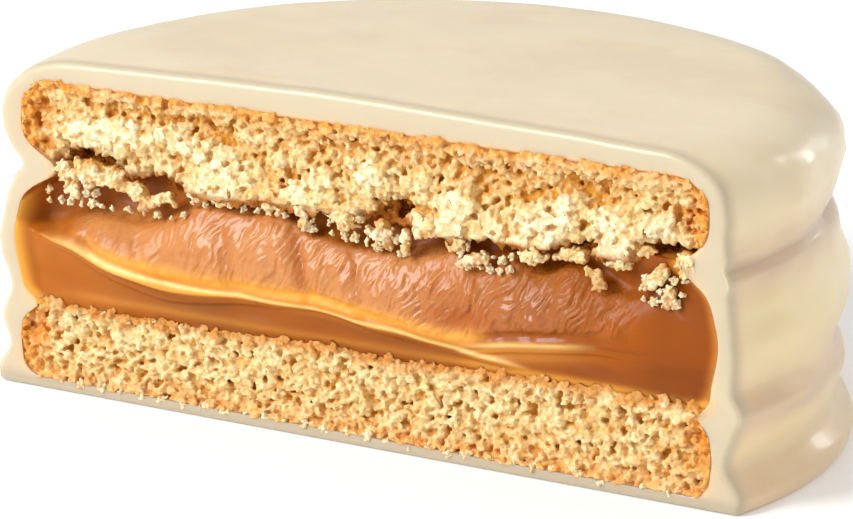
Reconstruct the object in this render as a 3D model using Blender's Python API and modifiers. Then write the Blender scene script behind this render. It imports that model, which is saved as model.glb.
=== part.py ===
"""Half of a coated alfajor: two shortbread cookies with a thick caramel filling, dipped in white chocolate.

The round sandwich stands on its flat underside. A knife has taken off the slice in front of a
plane CUT_DISTANCE before the disc's axis, so the layers show towards -Y. Each layer is one
closed solid in its own object. The layers are modelled round the disc's axis, and an empty
that holds them all then puts the middle of the underside's box at the origin. Units are metres.
"""

import math

import bmesh
import bpy
from mathutils import Vector, noise

MM = 0.001

# The whole disc
HEIGHT = 24.1 * MM
CUT_DISTANCE = 7.5 * MM  # from the disc's axis forward to the cut: a little more than half is left
GAP = 0.3 * MM  # free space between neighbouring solids

# The coating's outside
DOME_DROP = 0.7 * MM  # fall of the top from the middle out to the wall
DOME_RADIUS = 29.5 * MM
SHOULDER_WIDTH = 5.6 * MM
SHOULDER_DROP = 4.0 * MM
WAIST_RADIUS = 28.3 * MM
FOOT_ROUND = 0.5 * MM
# Each swelling of the wall: its height, how far it stands out of the waist, and its spread
WALL_SWELLS = {
    "foot": (0.9 * MM, 1.7 * MM, 1.6 * MM),
    "bottom_cookie": (5.0 * MM, 1.0 * MM, 1.8 * MM),
    "filling": (11.0 * MM, 1.25 * MM, 3.6 * MM),
    "top_cookie": (19.9 * MM, 0.85 * MM, 1.9 * MM),
}

# The layers inside
BOTTOM_COOKIE_RADIUS = 27.9 * MM
BOTTOM_COOKIE_LOW = 0.8 * MM
BOTTOM_COOKIE_HIGH = 6.6 * MM
TOP_COOKIE_RADIUS = 27.6 * MM
TOP_COOKIE_LOW = 16.3 * MM
TOP_COOKIE_HIGH = 22.0 * MM
COOKIE_EDGE_ROUND = 1.5 * MM
FILLING_LOW = BOTTOM_COOKIE_HIGH + GAP
FILLING_HIGH = TOP_COOKIE_LOW - GAP
FILLING_LOW_RADIUS = 26.7 * MM
FILLING_HIGH_RADIUS = 25.2 * MM
FILLING_SWELL = 2.3 * MM

# The filling's cut face: a lip stands out of the plane, the face above it leans back
LIP_HEIGHT = 8.7 * MM
LIP_END_RISE = 1.6 * MM  # how much higher the lip runs at its two ends
LIP_HALF_LENGTH = 22.0 * MM
LIP_OUT = 0.9 * MM
LIP_THICKNESS = 0.7 * MM
BAND_IN = 0.35 * MM  # the smooth band under the lip stands this far behind the plane
FACE_TOP_IN = 1.5 * MM

# The crumb of the cookies' cut faces: cell size and depth of the coarse and fine lumps
COARSE_CRUMB = (2.6 * MM, 0.75 * MM)
FINE_CRUMB = (1.2 * MM, 0.35 * MM)

# The torn lower edge of the top cookie's cut face
TEAR_DEPTH = 2.2 * MM
TEAR_HEIGHT = 1.3 * MM
TEAR_CELL = 5.0 * MM

# Facets
TURN_STEPS = 60
COOKIE_GRID = 0.85 * MM
FILLING_GRID = 0.95 * MM


def clear_scene():
    """Empties the scene and gives one collection for the layers and one for the cutters."""
    for old in list(bpy.data.objects):
        bpy.data.objects.remove(old)
    layers = bpy.data.collections.new("half_alfajor")
    cutters = bpy.data.collections.new("cutters")
    for collection in (layers, cutters):
        bpy.context.scene.collection.children.link(collection)
    cutters.hide_render = True
    return layers, cutters


def stand_on_origin(layers, cutters):
    """Parents everything to an empty, placed so that the layers' box stands centred on the origin."""
    graph = bpy.context.evaluated_depsgraph_get()
    corners = [
        Vector(corner) for layer in layers.objects for corner in layer.evaluated_get(graph).bound_box
    ]
    low = Vector(min(corner[axis] for corner in corners) for axis in range(3))
    high = Vector(max(corner[axis] for corner in corners) for axis in range(3))
    holder = bpy.data.objects.new("half_alfajor", None)
    holder.location = (-(low.x + high.x) / 2.0, -(low.y + high.y) / 2.0, -low.z)
    for piece in [*layers.objects, *cutters.objects]:
        piece.parent = holder
    layers.objects.link(holder)


def food_material(name, colour, roughness):
    """A Principled material of one colour and roughness, with no metal in it."""
    material = bpy.data.materials.new(name)
    material.use_nodes = True
    shader = material.node_tree.nodes["Principled BSDF"]
    shader.inputs["Base Color"].default_value = (*colour, 1.0)
    shader.inputs["Roughness"].default_value = roughness
    shader.inputs["Metallic"].default_value = 0.0
    return material


def arc(middle, width, height, start, end, steps):
    """Points of an elliptical arc in the (radius, height) plane, angles in degrees from +radius."""
    angles = [math.radians(start + (end - start) * i / steps) for i in range(steps + 1)]
    return [(middle[0] + width * math.cos(a), middle[1] + height * math.sin(a)) for a in angles]


def wall_radius(z):
    """Radius of the coating's wall at a height: the waist plus every swelling."""
    radius = WAIST_RADIUS
    for height, out, spread in WALL_SWELLS.values():
        radius += out * math.exp(-(((z - height) / spread) ** 2))
    return radius


def coating_profile():
    """The coating's outside, from the middle of the domed top out and down to the underside."""

    def dome(radius):
        return HEIGHT - DOME_DROP * (radius / DOME_RADIUS) ** 2

    shoulder_low = HEIGHT - DOME_DROP - SHOULDER_DROP
    shoulder_radius = wall_radius(shoulder_low) - SHOULDER_WIDTH
    top = [(radius, dome(radius)) for radius in (0.0, shoulder_radius * 0.5)]
    shoulder = arc(
        (shoulder_radius, shoulder_low),
        SHOULDER_WIDTH,
        dome(shoulder_radius) - shoulder_low,
        90,
        0,
        6,
    )
    wall_steps = 15
    heights = [
        shoulder_low + (FOOT_ROUND - shoulder_low) * i / wall_steps
        for i in range(1, wall_steps + 1)
    ]
    wall = [(wall_radius(z), z) for z in heights]
    foot_radius = wall_radius(FOOT_ROUND) - FOOT_ROUND
    foot = arc((foot_radius, FOOT_ROUND), FOOT_ROUND, FOOT_ROUND, 0, -90, 2)[1:]
    return top + shoulder + wall + foot + [(0.0, 0.0)]


def cookie_profile(radius, low, high, grow=0.0):
    """A flat disc with rounded edges, made larger all round by grow."""
    edge = COOKIE_EDGE_ROUND + grow
    inner = radius - COOKIE_EDGE_ROUND
    upper = arc((inner, high - COOKIE_EDGE_ROUND), edge, edge, 90, 0, 3)
    lower = arc((inner, low + COOKIE_EDGE_ROUND), edge, edge, 0, -90, 3)
    return [(0.0, high + grow)] + upper + lower + [(0.0, low - grow)]


def filling_profile(grow=0.0):
    """The filling, squeezed out between the cookies so that its side swells."""
    low, high = FILLING_LOW - grow, FILLING_HIGH + grow
    steps = 7
    side = []
    for i in range(steps + 1):
        share = 1.0 - i / steps
        straight = FILLING_LOW_RADIUS + (FILLING_HIGH_RADIUS - FILLING_LOW_RADIUS) * share
        swell = FILLING_SWELL * math.sin(math.pi * share) ** 0.8
        side.append((straight + swell + grow, low + (high - low) * share))
    return [(0.0, high)] + side + [(0.0, low)]


def uneven(point):
    """Where a point of the ideal turned shape lies in the hand-made one.

    The disc is a little out of round, and its rings rise and fall a little round the wall.
    The base and the top keep their heights, and neighbouring layers keep their distance.
    """
    turn = math.atan2(point.y, point.x)
    stretch = 1.0 + 0.004 * math.sin(2.0 * turn + 0.6) + 0.003 * math.sin(5.0 * turn + 2.1)
    share = min(max(point.z / HEIGHT, 0.0), 1.0)
    ring_drift = 0.35 * MM * math.sin(3.0 * turn + 0.9) * math.sin(math.pi * share) ** 2
    return Vector((point.x * stretch, point.y * stretch, point.z + ring_drift))


def plain_mesh(obj, collection):
    """Replaces an object that has live modifiers by its evaluated mesh, in the same collection."""
    graph = bpy.context.evaluated_depsgraph_get()
    mesh = bpy.data.meshes.new_from_object(obj.evaluated_get(graph))
    name = obj.name
    bpy.data.objects.remove(obj)
    made = bpy.data.objects.new(name, mesh)
    mesh.name = name
    collection.objects.link(made)
    return made


def turned(name, profile, collection):
    """Turns a profile round +Z with a Screw modifier, then makes it as uneven as the real disc."""
    mesh = bpy.data.meshes.new(name)
    edges = [(i, i + 1) for i in range(len(profile) - 1)]
    mesh.from_pydata([(radius, 0.0, z) for radius, z in profile], edges, [])
    obj = bpy.data.objects.new(name, mesh)
    collection.objects.link(obj)
    screw = obj.modifiers.new("turn", "SCREW")
    screw.axis = "Z"
    screw.steps = TURN_STEPS
    screw.render_steps = TURN_STEPS
    screw.use_merge_vertices = True
    screw.merge_threshold = 0.00001
    obj = plain_mesh(obj, collection)
    for vertex in obj.data.vertices:
        vertex.co = uneven(vertex.co)
    return obj


def crumb_relief(x, z):
    """How far the crumb of a cookie's cut face stands behind the knife's plane."""
    depth = 0.0
    for seed, (cell, deep) in enumerate((COARSE_CRUMB, FINE_CRUMB)):
        distances, _ = noise.voronoi(Vector((x / cell, 7.3 * seed, z / cell)))
        depth += deep * (distances[0] - 0.45)
    return depth


def torn_crumb_relief(x, z):
    """The same crumb with its lower edge torn back in patches, as on the top cookie."""
    patch = 0.5 + noise.noise(Vector((x / TEAR_CELL, 3.7, 0.0)))
    edge = math.exp(-max(z - TOP_COOKIE_LOW, 0.0) / TEAR_HEIGHT)
    return crumb_relief(x, z) + TEAR_DEPTH * max(patch, 0.0) * edge


def filling_relief(x, z):
    """How far the filling's cut face stands behind the knife's plane, under, on and above the lip."""
    along = x / LIP_HALF_LENGTH
    lip_height = LIP_HEIGHT + LIP_END_RISE * along**2
    lip_strength = max(0.0, 1.0 - along**4)
    lip_front = BAND_IN - (LIP_OUT + BAND_IN) * lip_strength
    above = z - lip_height
    if above < 0.0:
        share = math.exp(-((above / LIP_THICKNESS) ** 2))
        return BAND_IN + (lip_front - BAND_IN) * share
    share = min(above / (FILLING_HIGH - lip_height), 1.0)
    return lip_front + (FACE_TOP_IN - lip_front) * share**1.7


def knife(name, relief, step, collection):
    """A closed block in front of the disc whose rear face, at the cut plane, has a relief."""
    half_width = DOME_RADIUS + 2.0 * MM
    low, high = -2.0 * MM, HEIGHT + 2.0 * MM
    columns = round(2.0 * half_width / step)
    rows = round((high - low) / step)
    form = bmesh.new()
    bmesh.ops.create_grid(form, x_segments=columns, y_segments=rows, size=0.5)
    for vertex in form.verts:
        x = vertex.co.x * 2.0 * half_width
        z = low + (vertex.co.y + 0.5) * (high - low)
        vertex.co = Vector((x, relief(x, z) - CUT_DISTANCE, z))
    rear = form.faces[:]
    pulled = bmesh.ops.extrude_face_region(form, geom=rear, use_keep_orig=True)
    for item in pulled["geom"]:
        if isinstance(item, bmesh.types.BMVert):
            item.co.y = -DOME_RADIUS - 5.0 * MM
    bmesh.ops.recalc_face_normals(form, faces=form.faces)
    mesh = bpy.data.meshes.new(name)
    form.to_mesh(mesh)
    form.free()
    obj = bpy.data.objects.new(name, mesh)
    collection.objects.link(obj)
    obj.hide_render = True
    obj.display_type = "WIRE"
    return obj


def take_away(obj, cutter):
    """Subtracts a cutter from an object with a live exact Boolean."""
    cutter.hide_render = True
    cutter.display_type = "WIRE"
    boolean = obj.modifiers.new(cutter.name, "BOOLEAN")
    boolean.operation = "DIFFERENCE"
    boolean.solver = "EXACT"
    boolean.object = cutter


def dress(obj, material):
    """Gives an object its material and shades its round sides smooth."""
    obj.data.materials.clear()
    obj.data.materials.append(material)
    obj.data.shade_smooth()
    obj.data.set_sharp_from_angle(angle=math.radians(35.0))


def add_cookie(name, sizes, cut, layers, material):
    """One cookie of a radius, low and high side, turned, with a crumbly cut face."""
    cookie = turned(name, cookie_profile(*sizes), layers)
    dress(cookie, material)
    take_away(cookie, cut)


def add_filling(layers, cutters, material):
    """The caramel filling, with the lip that the knife dragged out of it."""
    filling = turned("filling", filling_profile(), layers)
    dress(filling, material)
    take_away(filling, knife("filling_knife", filling_relief, FILLING_GRID, cutters))


def add_coating(layers, cutters, material):
    """The white coating, hollow where the layers lie and cut off flat."""
    coating = turned("coating", coating_profile(), layers)
    dress(coating, material)
    hollows = {
        "top_cookie_hollow": cookie_profile(
            TOP_COOKIE_RADIUS, TOP_COOKIE_LOW, TOP_COOKIE_HIGH, GAP
        ),
        "filling_hollow": filling_profile(GAP),
        "bottom_cookie_hollow": cookie_profile(
            BOTTOM_COOKIE_RADIUS, BOTTOM_COOKIE_LOW, BOTTOM_COOKIE_HIGH, GAP
        ),
    }
    for name, profile in hollows.items():
        take_away(coating, turned(name, profile, cutters))
    flat_cut = knife("coating_knife", lambda x, z: 0.0, DOME_RADIUS, cutters)
    take_away(coating, flat_cut)


def main():
    """Builds the four layers and stands them on the origin."""
    layers, cutters = clear_scene()
    cookie_material = food_material("cookie_crumb", (0.86, 0.62, 0.30), 0.9)
    add_cookie(
        "bottom_cookie",
        (BOTTOM_COOKIE_RADIUS, BOTTOM_COOKIE_LOW, BOTTOM_COOKIE_HIGH),
        knife("bottom_cookie_knife", crumb_relief, COOKIE_GRID, cutters),
        layers,
        cookie_material,
    )
    add_cookie(
        "top_cookie",
        (TOP_COOKIE_RADIUS, TOP_COOKIE_LOW, TOP_COOKIE_HIGH),
        knife("top_cookie_knife", torn_crumb_relief, COOKIE_GRID, cutters),
        layers,
        cookie_material,
    )
    add_filling(layers, cutters, food_material("caramel", (0.60, 0.24, 0.05), 0.3))
    add_coating(layers, cutters, food_material("white_coating", (0.86, 0.75, 0.56), 0.35))
    stand_on_origin(layers, cutters)


main()
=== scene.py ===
"""The looks of a cut piece of white-coated alfajor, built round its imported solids.

Every piece is shaped in millimetres round the axis of the whole disc, with the knife's plane in
front of it, and is then settled into the frame in metres. The piece has five parts: the white
coating, two crumbly cookies, the caramel between them, and the crumbs that fell out of the cut.
"""

import logging
import math
from collections.abc import Callable, Sequence
from dataclasses import dataclass
from enum import Enum

import bmesh
import bpy
import numpy as np
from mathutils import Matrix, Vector, noise
from mathutils.kdtree import KDTree


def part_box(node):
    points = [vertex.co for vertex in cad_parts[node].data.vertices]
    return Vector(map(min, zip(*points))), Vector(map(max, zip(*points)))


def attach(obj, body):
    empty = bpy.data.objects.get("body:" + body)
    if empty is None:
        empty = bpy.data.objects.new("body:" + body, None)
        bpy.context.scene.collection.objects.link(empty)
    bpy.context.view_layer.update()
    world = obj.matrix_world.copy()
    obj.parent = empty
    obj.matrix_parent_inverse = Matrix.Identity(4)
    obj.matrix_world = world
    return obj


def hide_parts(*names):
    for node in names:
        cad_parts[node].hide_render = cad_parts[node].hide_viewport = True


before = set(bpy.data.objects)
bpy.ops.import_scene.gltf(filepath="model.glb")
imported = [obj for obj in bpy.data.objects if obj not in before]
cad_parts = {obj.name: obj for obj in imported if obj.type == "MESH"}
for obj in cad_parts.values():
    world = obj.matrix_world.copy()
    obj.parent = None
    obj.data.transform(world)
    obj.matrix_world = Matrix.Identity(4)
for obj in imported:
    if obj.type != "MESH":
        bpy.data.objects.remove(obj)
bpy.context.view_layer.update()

LOG = logging.getLogger("alfajor")

MM = 0.001
CUT_DISTANCE = 7.5  # from the disc's axis forward to the knife's plane
BODY = "root"
FULL_TURN = 6.28
MOST_GRAINS = 90.0  # for each square millimetre, before the least distance thins them

Colour = tuple[float, float, float]
Points = np.ndarray
Swells = tuple[tuple[float, float, float], ...]
Faces = list[tuple[int, ...]]


# ---------------------------------------------------------------------------------------------
# Small mathematics
# ---------------------------------------------------------------------------------------------


def srgb(red: int, green: int, blue: int) -> Colour:
    """Linear light of a display colour, each channel from 0 to 255."""

    def linear(value: int) -> float:
        """Linear light of one channel."""
        share = value / 255.0
        return share / 12.92 if share <= 0.04045 else ((share + 0.055) / 1.055) ** 2.4

    return linear(red), linear(green), linear(blue)


def rise(low: float, high: float, value: Points) -> Points:
    """A smooth step from 0 at low to 1 at high."""
    share = np.clip((value - low) / (high - low), 0.0, 1.0)
    return share * share * (3.0 - 2.0 * share)


def bump(value: Points, middle: float, width: float) -> Points:
    """A bell of height 1 round a middle."""
    return np.exp(-(((value - middle) / width) ** 2))


def swelling(value: Points, swells: Sequence[tuple[float, float, float]]) -> Points:
    """The sum of bells, each given by its middle, its height and its width."""
    return sum(height * bump(value, middle, width) for middle, height, width in swells)


def rough(points: Points, size: Sequence[float], octaves: int, seed: float) -> Points:
    """Soft fractal noise of about -1 to 1.

    Args:
        points: places in millimetres, one row each.
        size: the noise's grain along X, Y and Z, in millimetres.
        octaves: how many finer layers it has.
        seed: moves the pattern.

    Returns:
        One value for each point.
    """
    scaled = points / np.array(size) + seed * 17.31
    return np.array([noise.fractal(Vector(p), 0.9, 2.1, octaves) for p in scaled.tolist()])


def granules(points: Points, size: float, seed: float) -> Points:
    """Tightly packed rounded grains: 1 at a grain's middle, falling to 0 in the gaps.

    Args:
        points: places in millimetres, one row each.
        size: a grain's size in millimetres.
        seed: moves the pattern.

    Returns:
        One value for each point.
    """
    scaled = points / size + seed * 7.7
    nearest = np.array([noise.voronoi(Vector(p))[0][:2] for p in scaled.tolist()])
    return np.clip((nearest[:, 1] - nearest[:, 0]) * 1.6, 0.0, 1.0) ** 0.6


def through(knots: Sequence[tuple[float, float]]) -> Callable[[Points], Points]:
    """A smooth curve through a few knots of (x, value), level beyond its ends.

    Args:
        knots: the knots, by rising x.

    Returns:
        The function from x to value.
    """
    xs, ys = (np.array(column) for column in zip(*knots))
    slopes = np.gradient(ys, xs)

    def curve(x: Points) -> Points:
        """The curve's value at x, by cubic pieces between the knots."""
        inside = np.clip(x, xs[0], xs[-1])
        i = np.clip(np.searchsorted(xs, inside) - 1, 0, len(xs) - 2)
        width = xs[i + 1] - xs[i]
        t = (inside - xs[i]) / width
        start = (1 + 2 * t) * (1 - t) ** 2 * ys[i] + t * (1 - t) ** 2 * width * slopes[i]
        end = t * t * (3 - 2 * t) * ys[i + 1] + t * t * (t - 1) * width * slopes[i + 1]
        return start + end

    return curve


# ---------------------------------------------------------------------------------------------
# The disc that all layers share
# ---------------------------------------------------------------------------------------------


@dataclass(frozen=True)
class Disc:
    """Where the whole disc stands, in millimetres, and how uneven the hand-made one is."""

    axis_y: float
    height: float
    stretch: tuple[float, float] = (0.004, 0.003)
    ring_drift: float = 0.35
    sag: float = 0.48

    @classmethod
    def from_frame(cls) -> "Disc":
        """Reads the disc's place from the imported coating."""
        low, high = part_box("coating")
        return cls(axis_y=low.y / MM + CUT_DISTANCE, height=high.z / MM)

    def settle(self, points: Points) -> Points:
        """Moves points from the ideal disc to the uneven one in the frame.

        Args:
            points: rows of (x, y, z) in millimetres round the disc's axis.

        Returns:
            The same points in metres, in the frame.
        """
        x, y, z = points.T
        turn = np.arctan2(y, x)
        wide = 1.0 + self.stretch[0] * np.sin(2.0 * turn + 0.6)
        wide += self.stretch[1] * np.sin(5.0 * turn + 2.1)
        share = np.clip(z / self.height, 0.0, 1.0)
        drift = self.ring_drift * np.sin(3.0 * turn + 0.9) * np.sin(math.pi * share) ** 2
        pinch = 0.8 * self.end(x, y) * bump(z, 16.0, 1.1) + 0.6 * self.end(x, y) * bump(z, 6.6, 0.9)
        pinch -= 0.4 * self.end(-x, y) * bump(z, 16.3, 1.2)
        x_out, y_out = pinch * np.cos(turn), pinch * np.sin(turn) * (y > 0.1 - CUT_DISTANCE)
        dip = self.sag * rise(-26.0, -21.0, x) * (1.0 - rise(0.0, 9.0, x))
        dip *= rise(1.0, 5.0, z) * (1.0 - rise(8.0, 13.0, z))
        deep = (y + y_out + CUT_DISTANCE) * wide - CUT_DISTANCE + self.axis_y
        return np.column_stack(((x + x_out) * wide, deep, z + drift - dip)) * MM

    @staticmethod
    def end(x: Points, y: Points) -> Points:
        """Nearness to the right end of the cut, from 0 to 1; with -x, to its left end."""
        return rise(18.0, 25.5, x) * (1.0 - rise(-2.0, 12.0, y))


def reach(angle: Points, radius: Points, start_y: float) -> Points:
    """How far a circle round the axis lies from a point of the Y axis, along each angle.

    Args:
        angle: directions from +X, in radians.
        radius: radius of the circle.
        start_y: where on the Y axis the ray starts, inside the circle.

    Returns:
        The distances, for every radius and angle.
    """
    forward = start_y * np.sin(angle)
    return -forward + np.sqrt(forward**2 + radius**2 - start_y**2)


def quarter_turn(
    start: float, end: float, count: int, middle: tuple[float, float], half: tuple[float, float]
) -> list[tuple[float, float]]:
    """Points of a rounded corner of a profile, without the first.

    Args:
        start: the angle it starts at, in degrees from outwards.
        end: the angle it ends at.
        count: how many points it gives.
        middle: radius and height of its middle.
        half: its half width and half height.

    Returns:
        Radius and height of each point.
    """
    turns = np.radians(np.linspace(start, end, count + 1)[1:])
    return [(middle[0] + half[0] * math.cos(a), middle[1] + half[1] * math.sin(a)) for a in turns]


# ---------------------------------------------------------------------------------------------
# Meshes
# ---------------------------------------------------------------------------------------------


def grid_faces(rows: int, columns: int, start: int = 0, closed: bool = False) -> Faces:
    """Quads of a grid of points laid out row by row.

    Args:
        rows: points down the grid.
        columns: points along a row.
        start: index of the grid's first point.
        closed: whether each row is a ring.

    Returns:
        The faces.
    """
    faces = []
    for row in range(rows - 1):
        for column in range(columns if closed else columns - 1):
            after = (column + 1) % columns
            a, b = start + row * columns, start + (row + 1) * columns
            faces.append((a + column, a + after, b + after, b + column))
    return faces


def linked(name: str, data: bpy.types.ID) -> bpy.types.Object:
    """A new object in the scene."""
    made = bpy.data.objects.new(name, data)
    bpy.context.scene.collection.objects.link(made)
    return made


def make_mesh(
    name: str, points: Points, faces: Faces, merge: float = 0.000002, crisp: float = 180.0
) -> bpy.types.Object:
    """A closed, outward-facing, smooth object at the origin.

    Args:
        name: the piece's name.
        points: its points in metres.
        faces: its faces.
        merge: points closer than this become one.
        crisp: edges sharper than this many degrees aren't smoothed.

    Returns:
        The new object, linked to the scene.
    """
    mesh = bpy.data.meshes.new(name)
    mesh.from_pydata(points.tolist(), [], faces)
    form = bmesh.new()
    form.from_mesh(mesh)
    bmesh.ops.remove_doubles(form, verts=form.verts, dist=merge)
    bmesh.ops.dissolve_degenerate(form, edges=form.edges, dist=merge * 0.1)
    bmesh.ops.recalc_face_normals(form, faces=form.faces)
    form.to_mesh(mesh)
    form.free()
    mesh.shade_smooth()
    if crisp < 180.0:
        mesh.set_sharp_from_angle(angle=math.radians(crisp))
    return linked(name, mesh)


def points_of(obj: bpy.types.Object) -> Points:
    """The points of an object's mesh, one row each."""
    flat = np.zeros(len(obj.data.vertices) * 3, np.float32)
    obj.data.vertices.foreach_get("co", flat)
    return flat.reshape(-1, 3).astype(float)


def set_points(obj: bpy.types.Object, points: Points) -> None:
    """Moves the points of an object's mesh."""
    obj.data.vertices.foreach_set("co", points.astype(np.float32).ravel())
    obj.data.update()


def normals_of(obj: bpy.types.Object) -> Points:
    """The normals at an object's points."""
    flat = np.zeros(len(obj.data.vertices) * 3, np.float32)
    obj.data.vertices.foreach_get("normal", flat)
    return flat.reshape(-1, 3).astype(float)


def paint(obj: bpy.types.Object, name: str, values: Points) -> None:
    """Stores a value at every point of a mesh, for its material to read."""
    layer = obj.data.attributes.new(name, "FLOAT", "POINT")
    layer.data.foreach_set("value", values.astype(np.float32))


def plain(obj: bpy.types.Object) -> bpy.types.Object:
    """Turns the evaluated object into a plain mesh object of the same name."""
    bpy.context.view_layer.update()
    graph = bpy.context.evaluated_depsgraph_get()
    mesh = bpy.data.meshes.new_from_object(obj.evaluated_get(graph))
    name = obj.name
    bpy.data.objects.remove(obj)
    mesh.name = name
    return linked(name, mesh)


def stacked(
    levels: Points,
    radii: Points,
    relief: Callable[[Points, Points], Points],
    chord: int,
    arc: int,
    slice_depth: float = 0.0,
) -> tuple[Points, Faces]:
    """A closed layer of the disc, cut by the knife, from rings stacked upwards.

    Args:
        levels: height of each ring.
        radii: radius of each ring's round back.
        relief: how far the cut face stands behind the knife's plane at (x, z).
        chord: points across the cut face.
        arc: points round the back.
        slice_depth: how thick a slice to keep behind the knife's plane; 0 keeps the whole layer.

    Returns:
        Points in millimetres round the axis, and faces.
    """
    rings = []
    for height, radius in zip(levels, radii):
        half = math.sqrt(radius**2 - CUT_DISTANCE**2)
        x = np.linspace(-half, half, chord)
        face = np.column_stack((x, relief(x, np.full(chord, height)) - CUT_DISTANCE, np.full(chord, height)))
        if slice_depth:
            back_y = slice_depth - CUT_DISTANCE
            back_x = np.linspace(1.0, -1.0, arc) * math.sqrt((radius - 1.0) ** 2 - back_y**2)
            back = np.column_stack((back_x, np.full(arc, back_y), np.full(arc, height)))
        else:
            edge = math.asin(CUT_DISTANCE / radius)
            turn = np.linspace(-edge, math.pi + edge, arc + 2)[1:-1]
            back = np.column_stack((radius * np.cos(turn), radius * np.sin(turn), np.full(arc, height)))
        rings.append(np.vstack((face, back)))
    count = chord + arc
    faces = grid_faces(len(levels), count, closed=True)
    points = np.vstack(rings)
    caps = []
    for ring, level in ((0, levels[0]), (len(levels) - 1, levels[-1])):
        middle = len(points) + len(caps)
        caps.append((0.0, slice_depth / 2 - CUT_DISTANCE if slice_depth else CUT_DISTANCE, level))
        for i in range(count):
            faces.append((ring * count + i, ring * count + (i + 1) % count, middle))
    return np.vstack((points, caps)), faces


# ---------------------------------------------------------------------------------------------
# Shader building
# ---------------------------------------------------------------------------------------------


class Shading:
    """A node tree under construction, with short ways to add and join nodes."""

    def __init__(self, tree: bpy.types.NodeTree) -> None:
        """Works on one tree."""
        self.tree = tree

    def node(self, kind: str, **settings: object) -> bpy.types.Node:
        """Adds a node of a kind, with its settings."""
        made = self.tree.nodes.new(kind)
        for name, value in settings.items():
            setattr(made, name, value)
        return made

    def join(self, source: bpy.types.NodeSocket, target: bpy.types.NodeSocket) -> None:
        """Links two sockets."""
        self.tree.links.new(source, target)

    def feed(self, target: bpy.types.NodeSocket, value: object) -> None:
        """Links a socket or sets a constant."""
        if isinstance(value, bpy.types.NodeSocket):
            self.join(value, target)
        else:
            target.default_value = value

    def maths(self, operation: str, first: object, second: object = 0.0) -> bpy.types.NodeSocket:
        """The result of a Math node on two values."""
        made = self.node("ShaderNodeMath", operation=operation)
        self.feed(made.inputs[0], first)
        self.feed(made.inputs[1], second)
        return made.outputs[0]

    def spread(
        self, value: object, low: object, high: object, to_low: float = 0.0, to_high: float = 1.0
    ) -> bpy.types.NodeSocket:
        """Maps a value from one range to another, clamped and smooth."""
        made = self.node("ShaderNodeMapRange", interpolation_type="SMOOTHSTEP")
        for index, item in enumerate((value, low, high, to_low, to_high)):
            self.feed(made.inputs[index], item)
        return made.outputs[0]

    def blend(self, share: object, first: object, second: object) -> bpy.types.NodeSocket:
        """Mixes two colours by a share."""
        made = self.node("ShaderNodeMix", data_type="RGBA")
        self.feed(made.inputs[0], share)
        for index, item in ((6, first), (7, second)):
            self.feed(made.inputs[index], (*item, 1.0) if isinstance(item, tuple) else item)
        return made.outputs[2]

    def mask(self, name: str) -> bpy.types.NodeSocket:
        """A value painted on the mesh."""
        return self.node("ShaderNodeAttribute", attribute_name=name).outputs["Fac"]

    def place(self) -> bpy.types.NodeSocket:
        """The point's place on the object, in metres."""
        return self.node("ShaderNodeTexCoord").outputs["Object"]

    def drawn_out(self, turn: float, stretch: tuple[float, float, float]) -> bpy.types.NodeSocket:
        """The point's place turned about Y and stretched, for marks that run one way."""
        made = self.node("ShaderNodeMapping", vector_type="TEXTURE")
        self.join(self.place(), made.inputs["Vector"])
        made.inputs["Rotation"].default_value = (0.0, turn, 0.0)
        made.inputs["Scale"].default_value = stretch
        return made.outputs[0]

    def relief(
        self, height: bpy.types.NodeSocket, strength: float, distance: float, under: object = None
    ) -> bpy.types.NodeSocket:
        """A Bump node's normal, laid over another normal where one is given."""
        made = self.node("ShaderNodeBump")
        made.inputs["Strength"].default_value = strength
        made.inputs["Distance"].default_value = distance
        self.join(height, made.inputs["Height"])
        if under is not None:
            self.join(under, made.inputs["Normal"])
        return made.outputs["Normal"]

    def group(self, group: bpy.types.NodeTree, **inputs: object) -> bpy.types.Node:
        """Places a shader group, with its inputs named with spaces as underscores."""
        made = self.node("ShaderNodeGroup", node_tree=group)
        for name, value in inputs.items():
            self.feed(made.inputs[name.replace("_", " ")], value)
        return made


def shader_group(name: str, inputs: dict[str, str], outputs: dict[str, str]) -> tuple[Shading, dict, dict]:
    """Starts a shader node group.

    Args:
        name: the group's name.
        inputs: socket types by input name.
        outputs: socket types by output name.

    Returns:
        The builder, the group's input sockets and its output sockets, both by name.
    """
    tree = bpy.data.node_groups.new(name, "ShaderNodeTree")
    for names, way in ((inputs, "INPUT"), (outputs, "OUTPUT")):
        for label, kind in names.items():
            tree.interface.new_socket(name=label, in_out=way, socket_type=kind)
    build = Shading(tree)
    entry, out = build.node("NodeGroupInput"), build.node("NodeGroupOutput")
    return build, {n: entry.outputs[n] for n in inputs}, {n: out.inputs[n] for n in outputs}


def mottle_group() -> bpy.types.NodeTree:
    """A patchy mask that changes over the surface, softer or harder at its edges."""
    build, given, out = shader_group(
        "food_mottle",
        {
            "Place": "NodeSocketVector",
            "Patches per metre": "NodeSocketFloat",
            "Low": "NodeSocketFloat",
            "High": "NodeSocketFloat",
        },
        {"Mask": "NodeSocketFloat"},
    )
    patches = build.node("ShaderNodeTexNoise")
    patches.inputs["Detail"].default_value = 3.0
    patches.inputs["Roughness"].default_value = 0.6
    build.join(given["Place"], patches.inputs["Vector"])
    build.join(given["Patches per metre"], patches.inputs["Scale"])
    build.join(build.spread(patches.outputs["Fac"], given["Low"], given["High"]), out["Mask"])
    return build.tree


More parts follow.
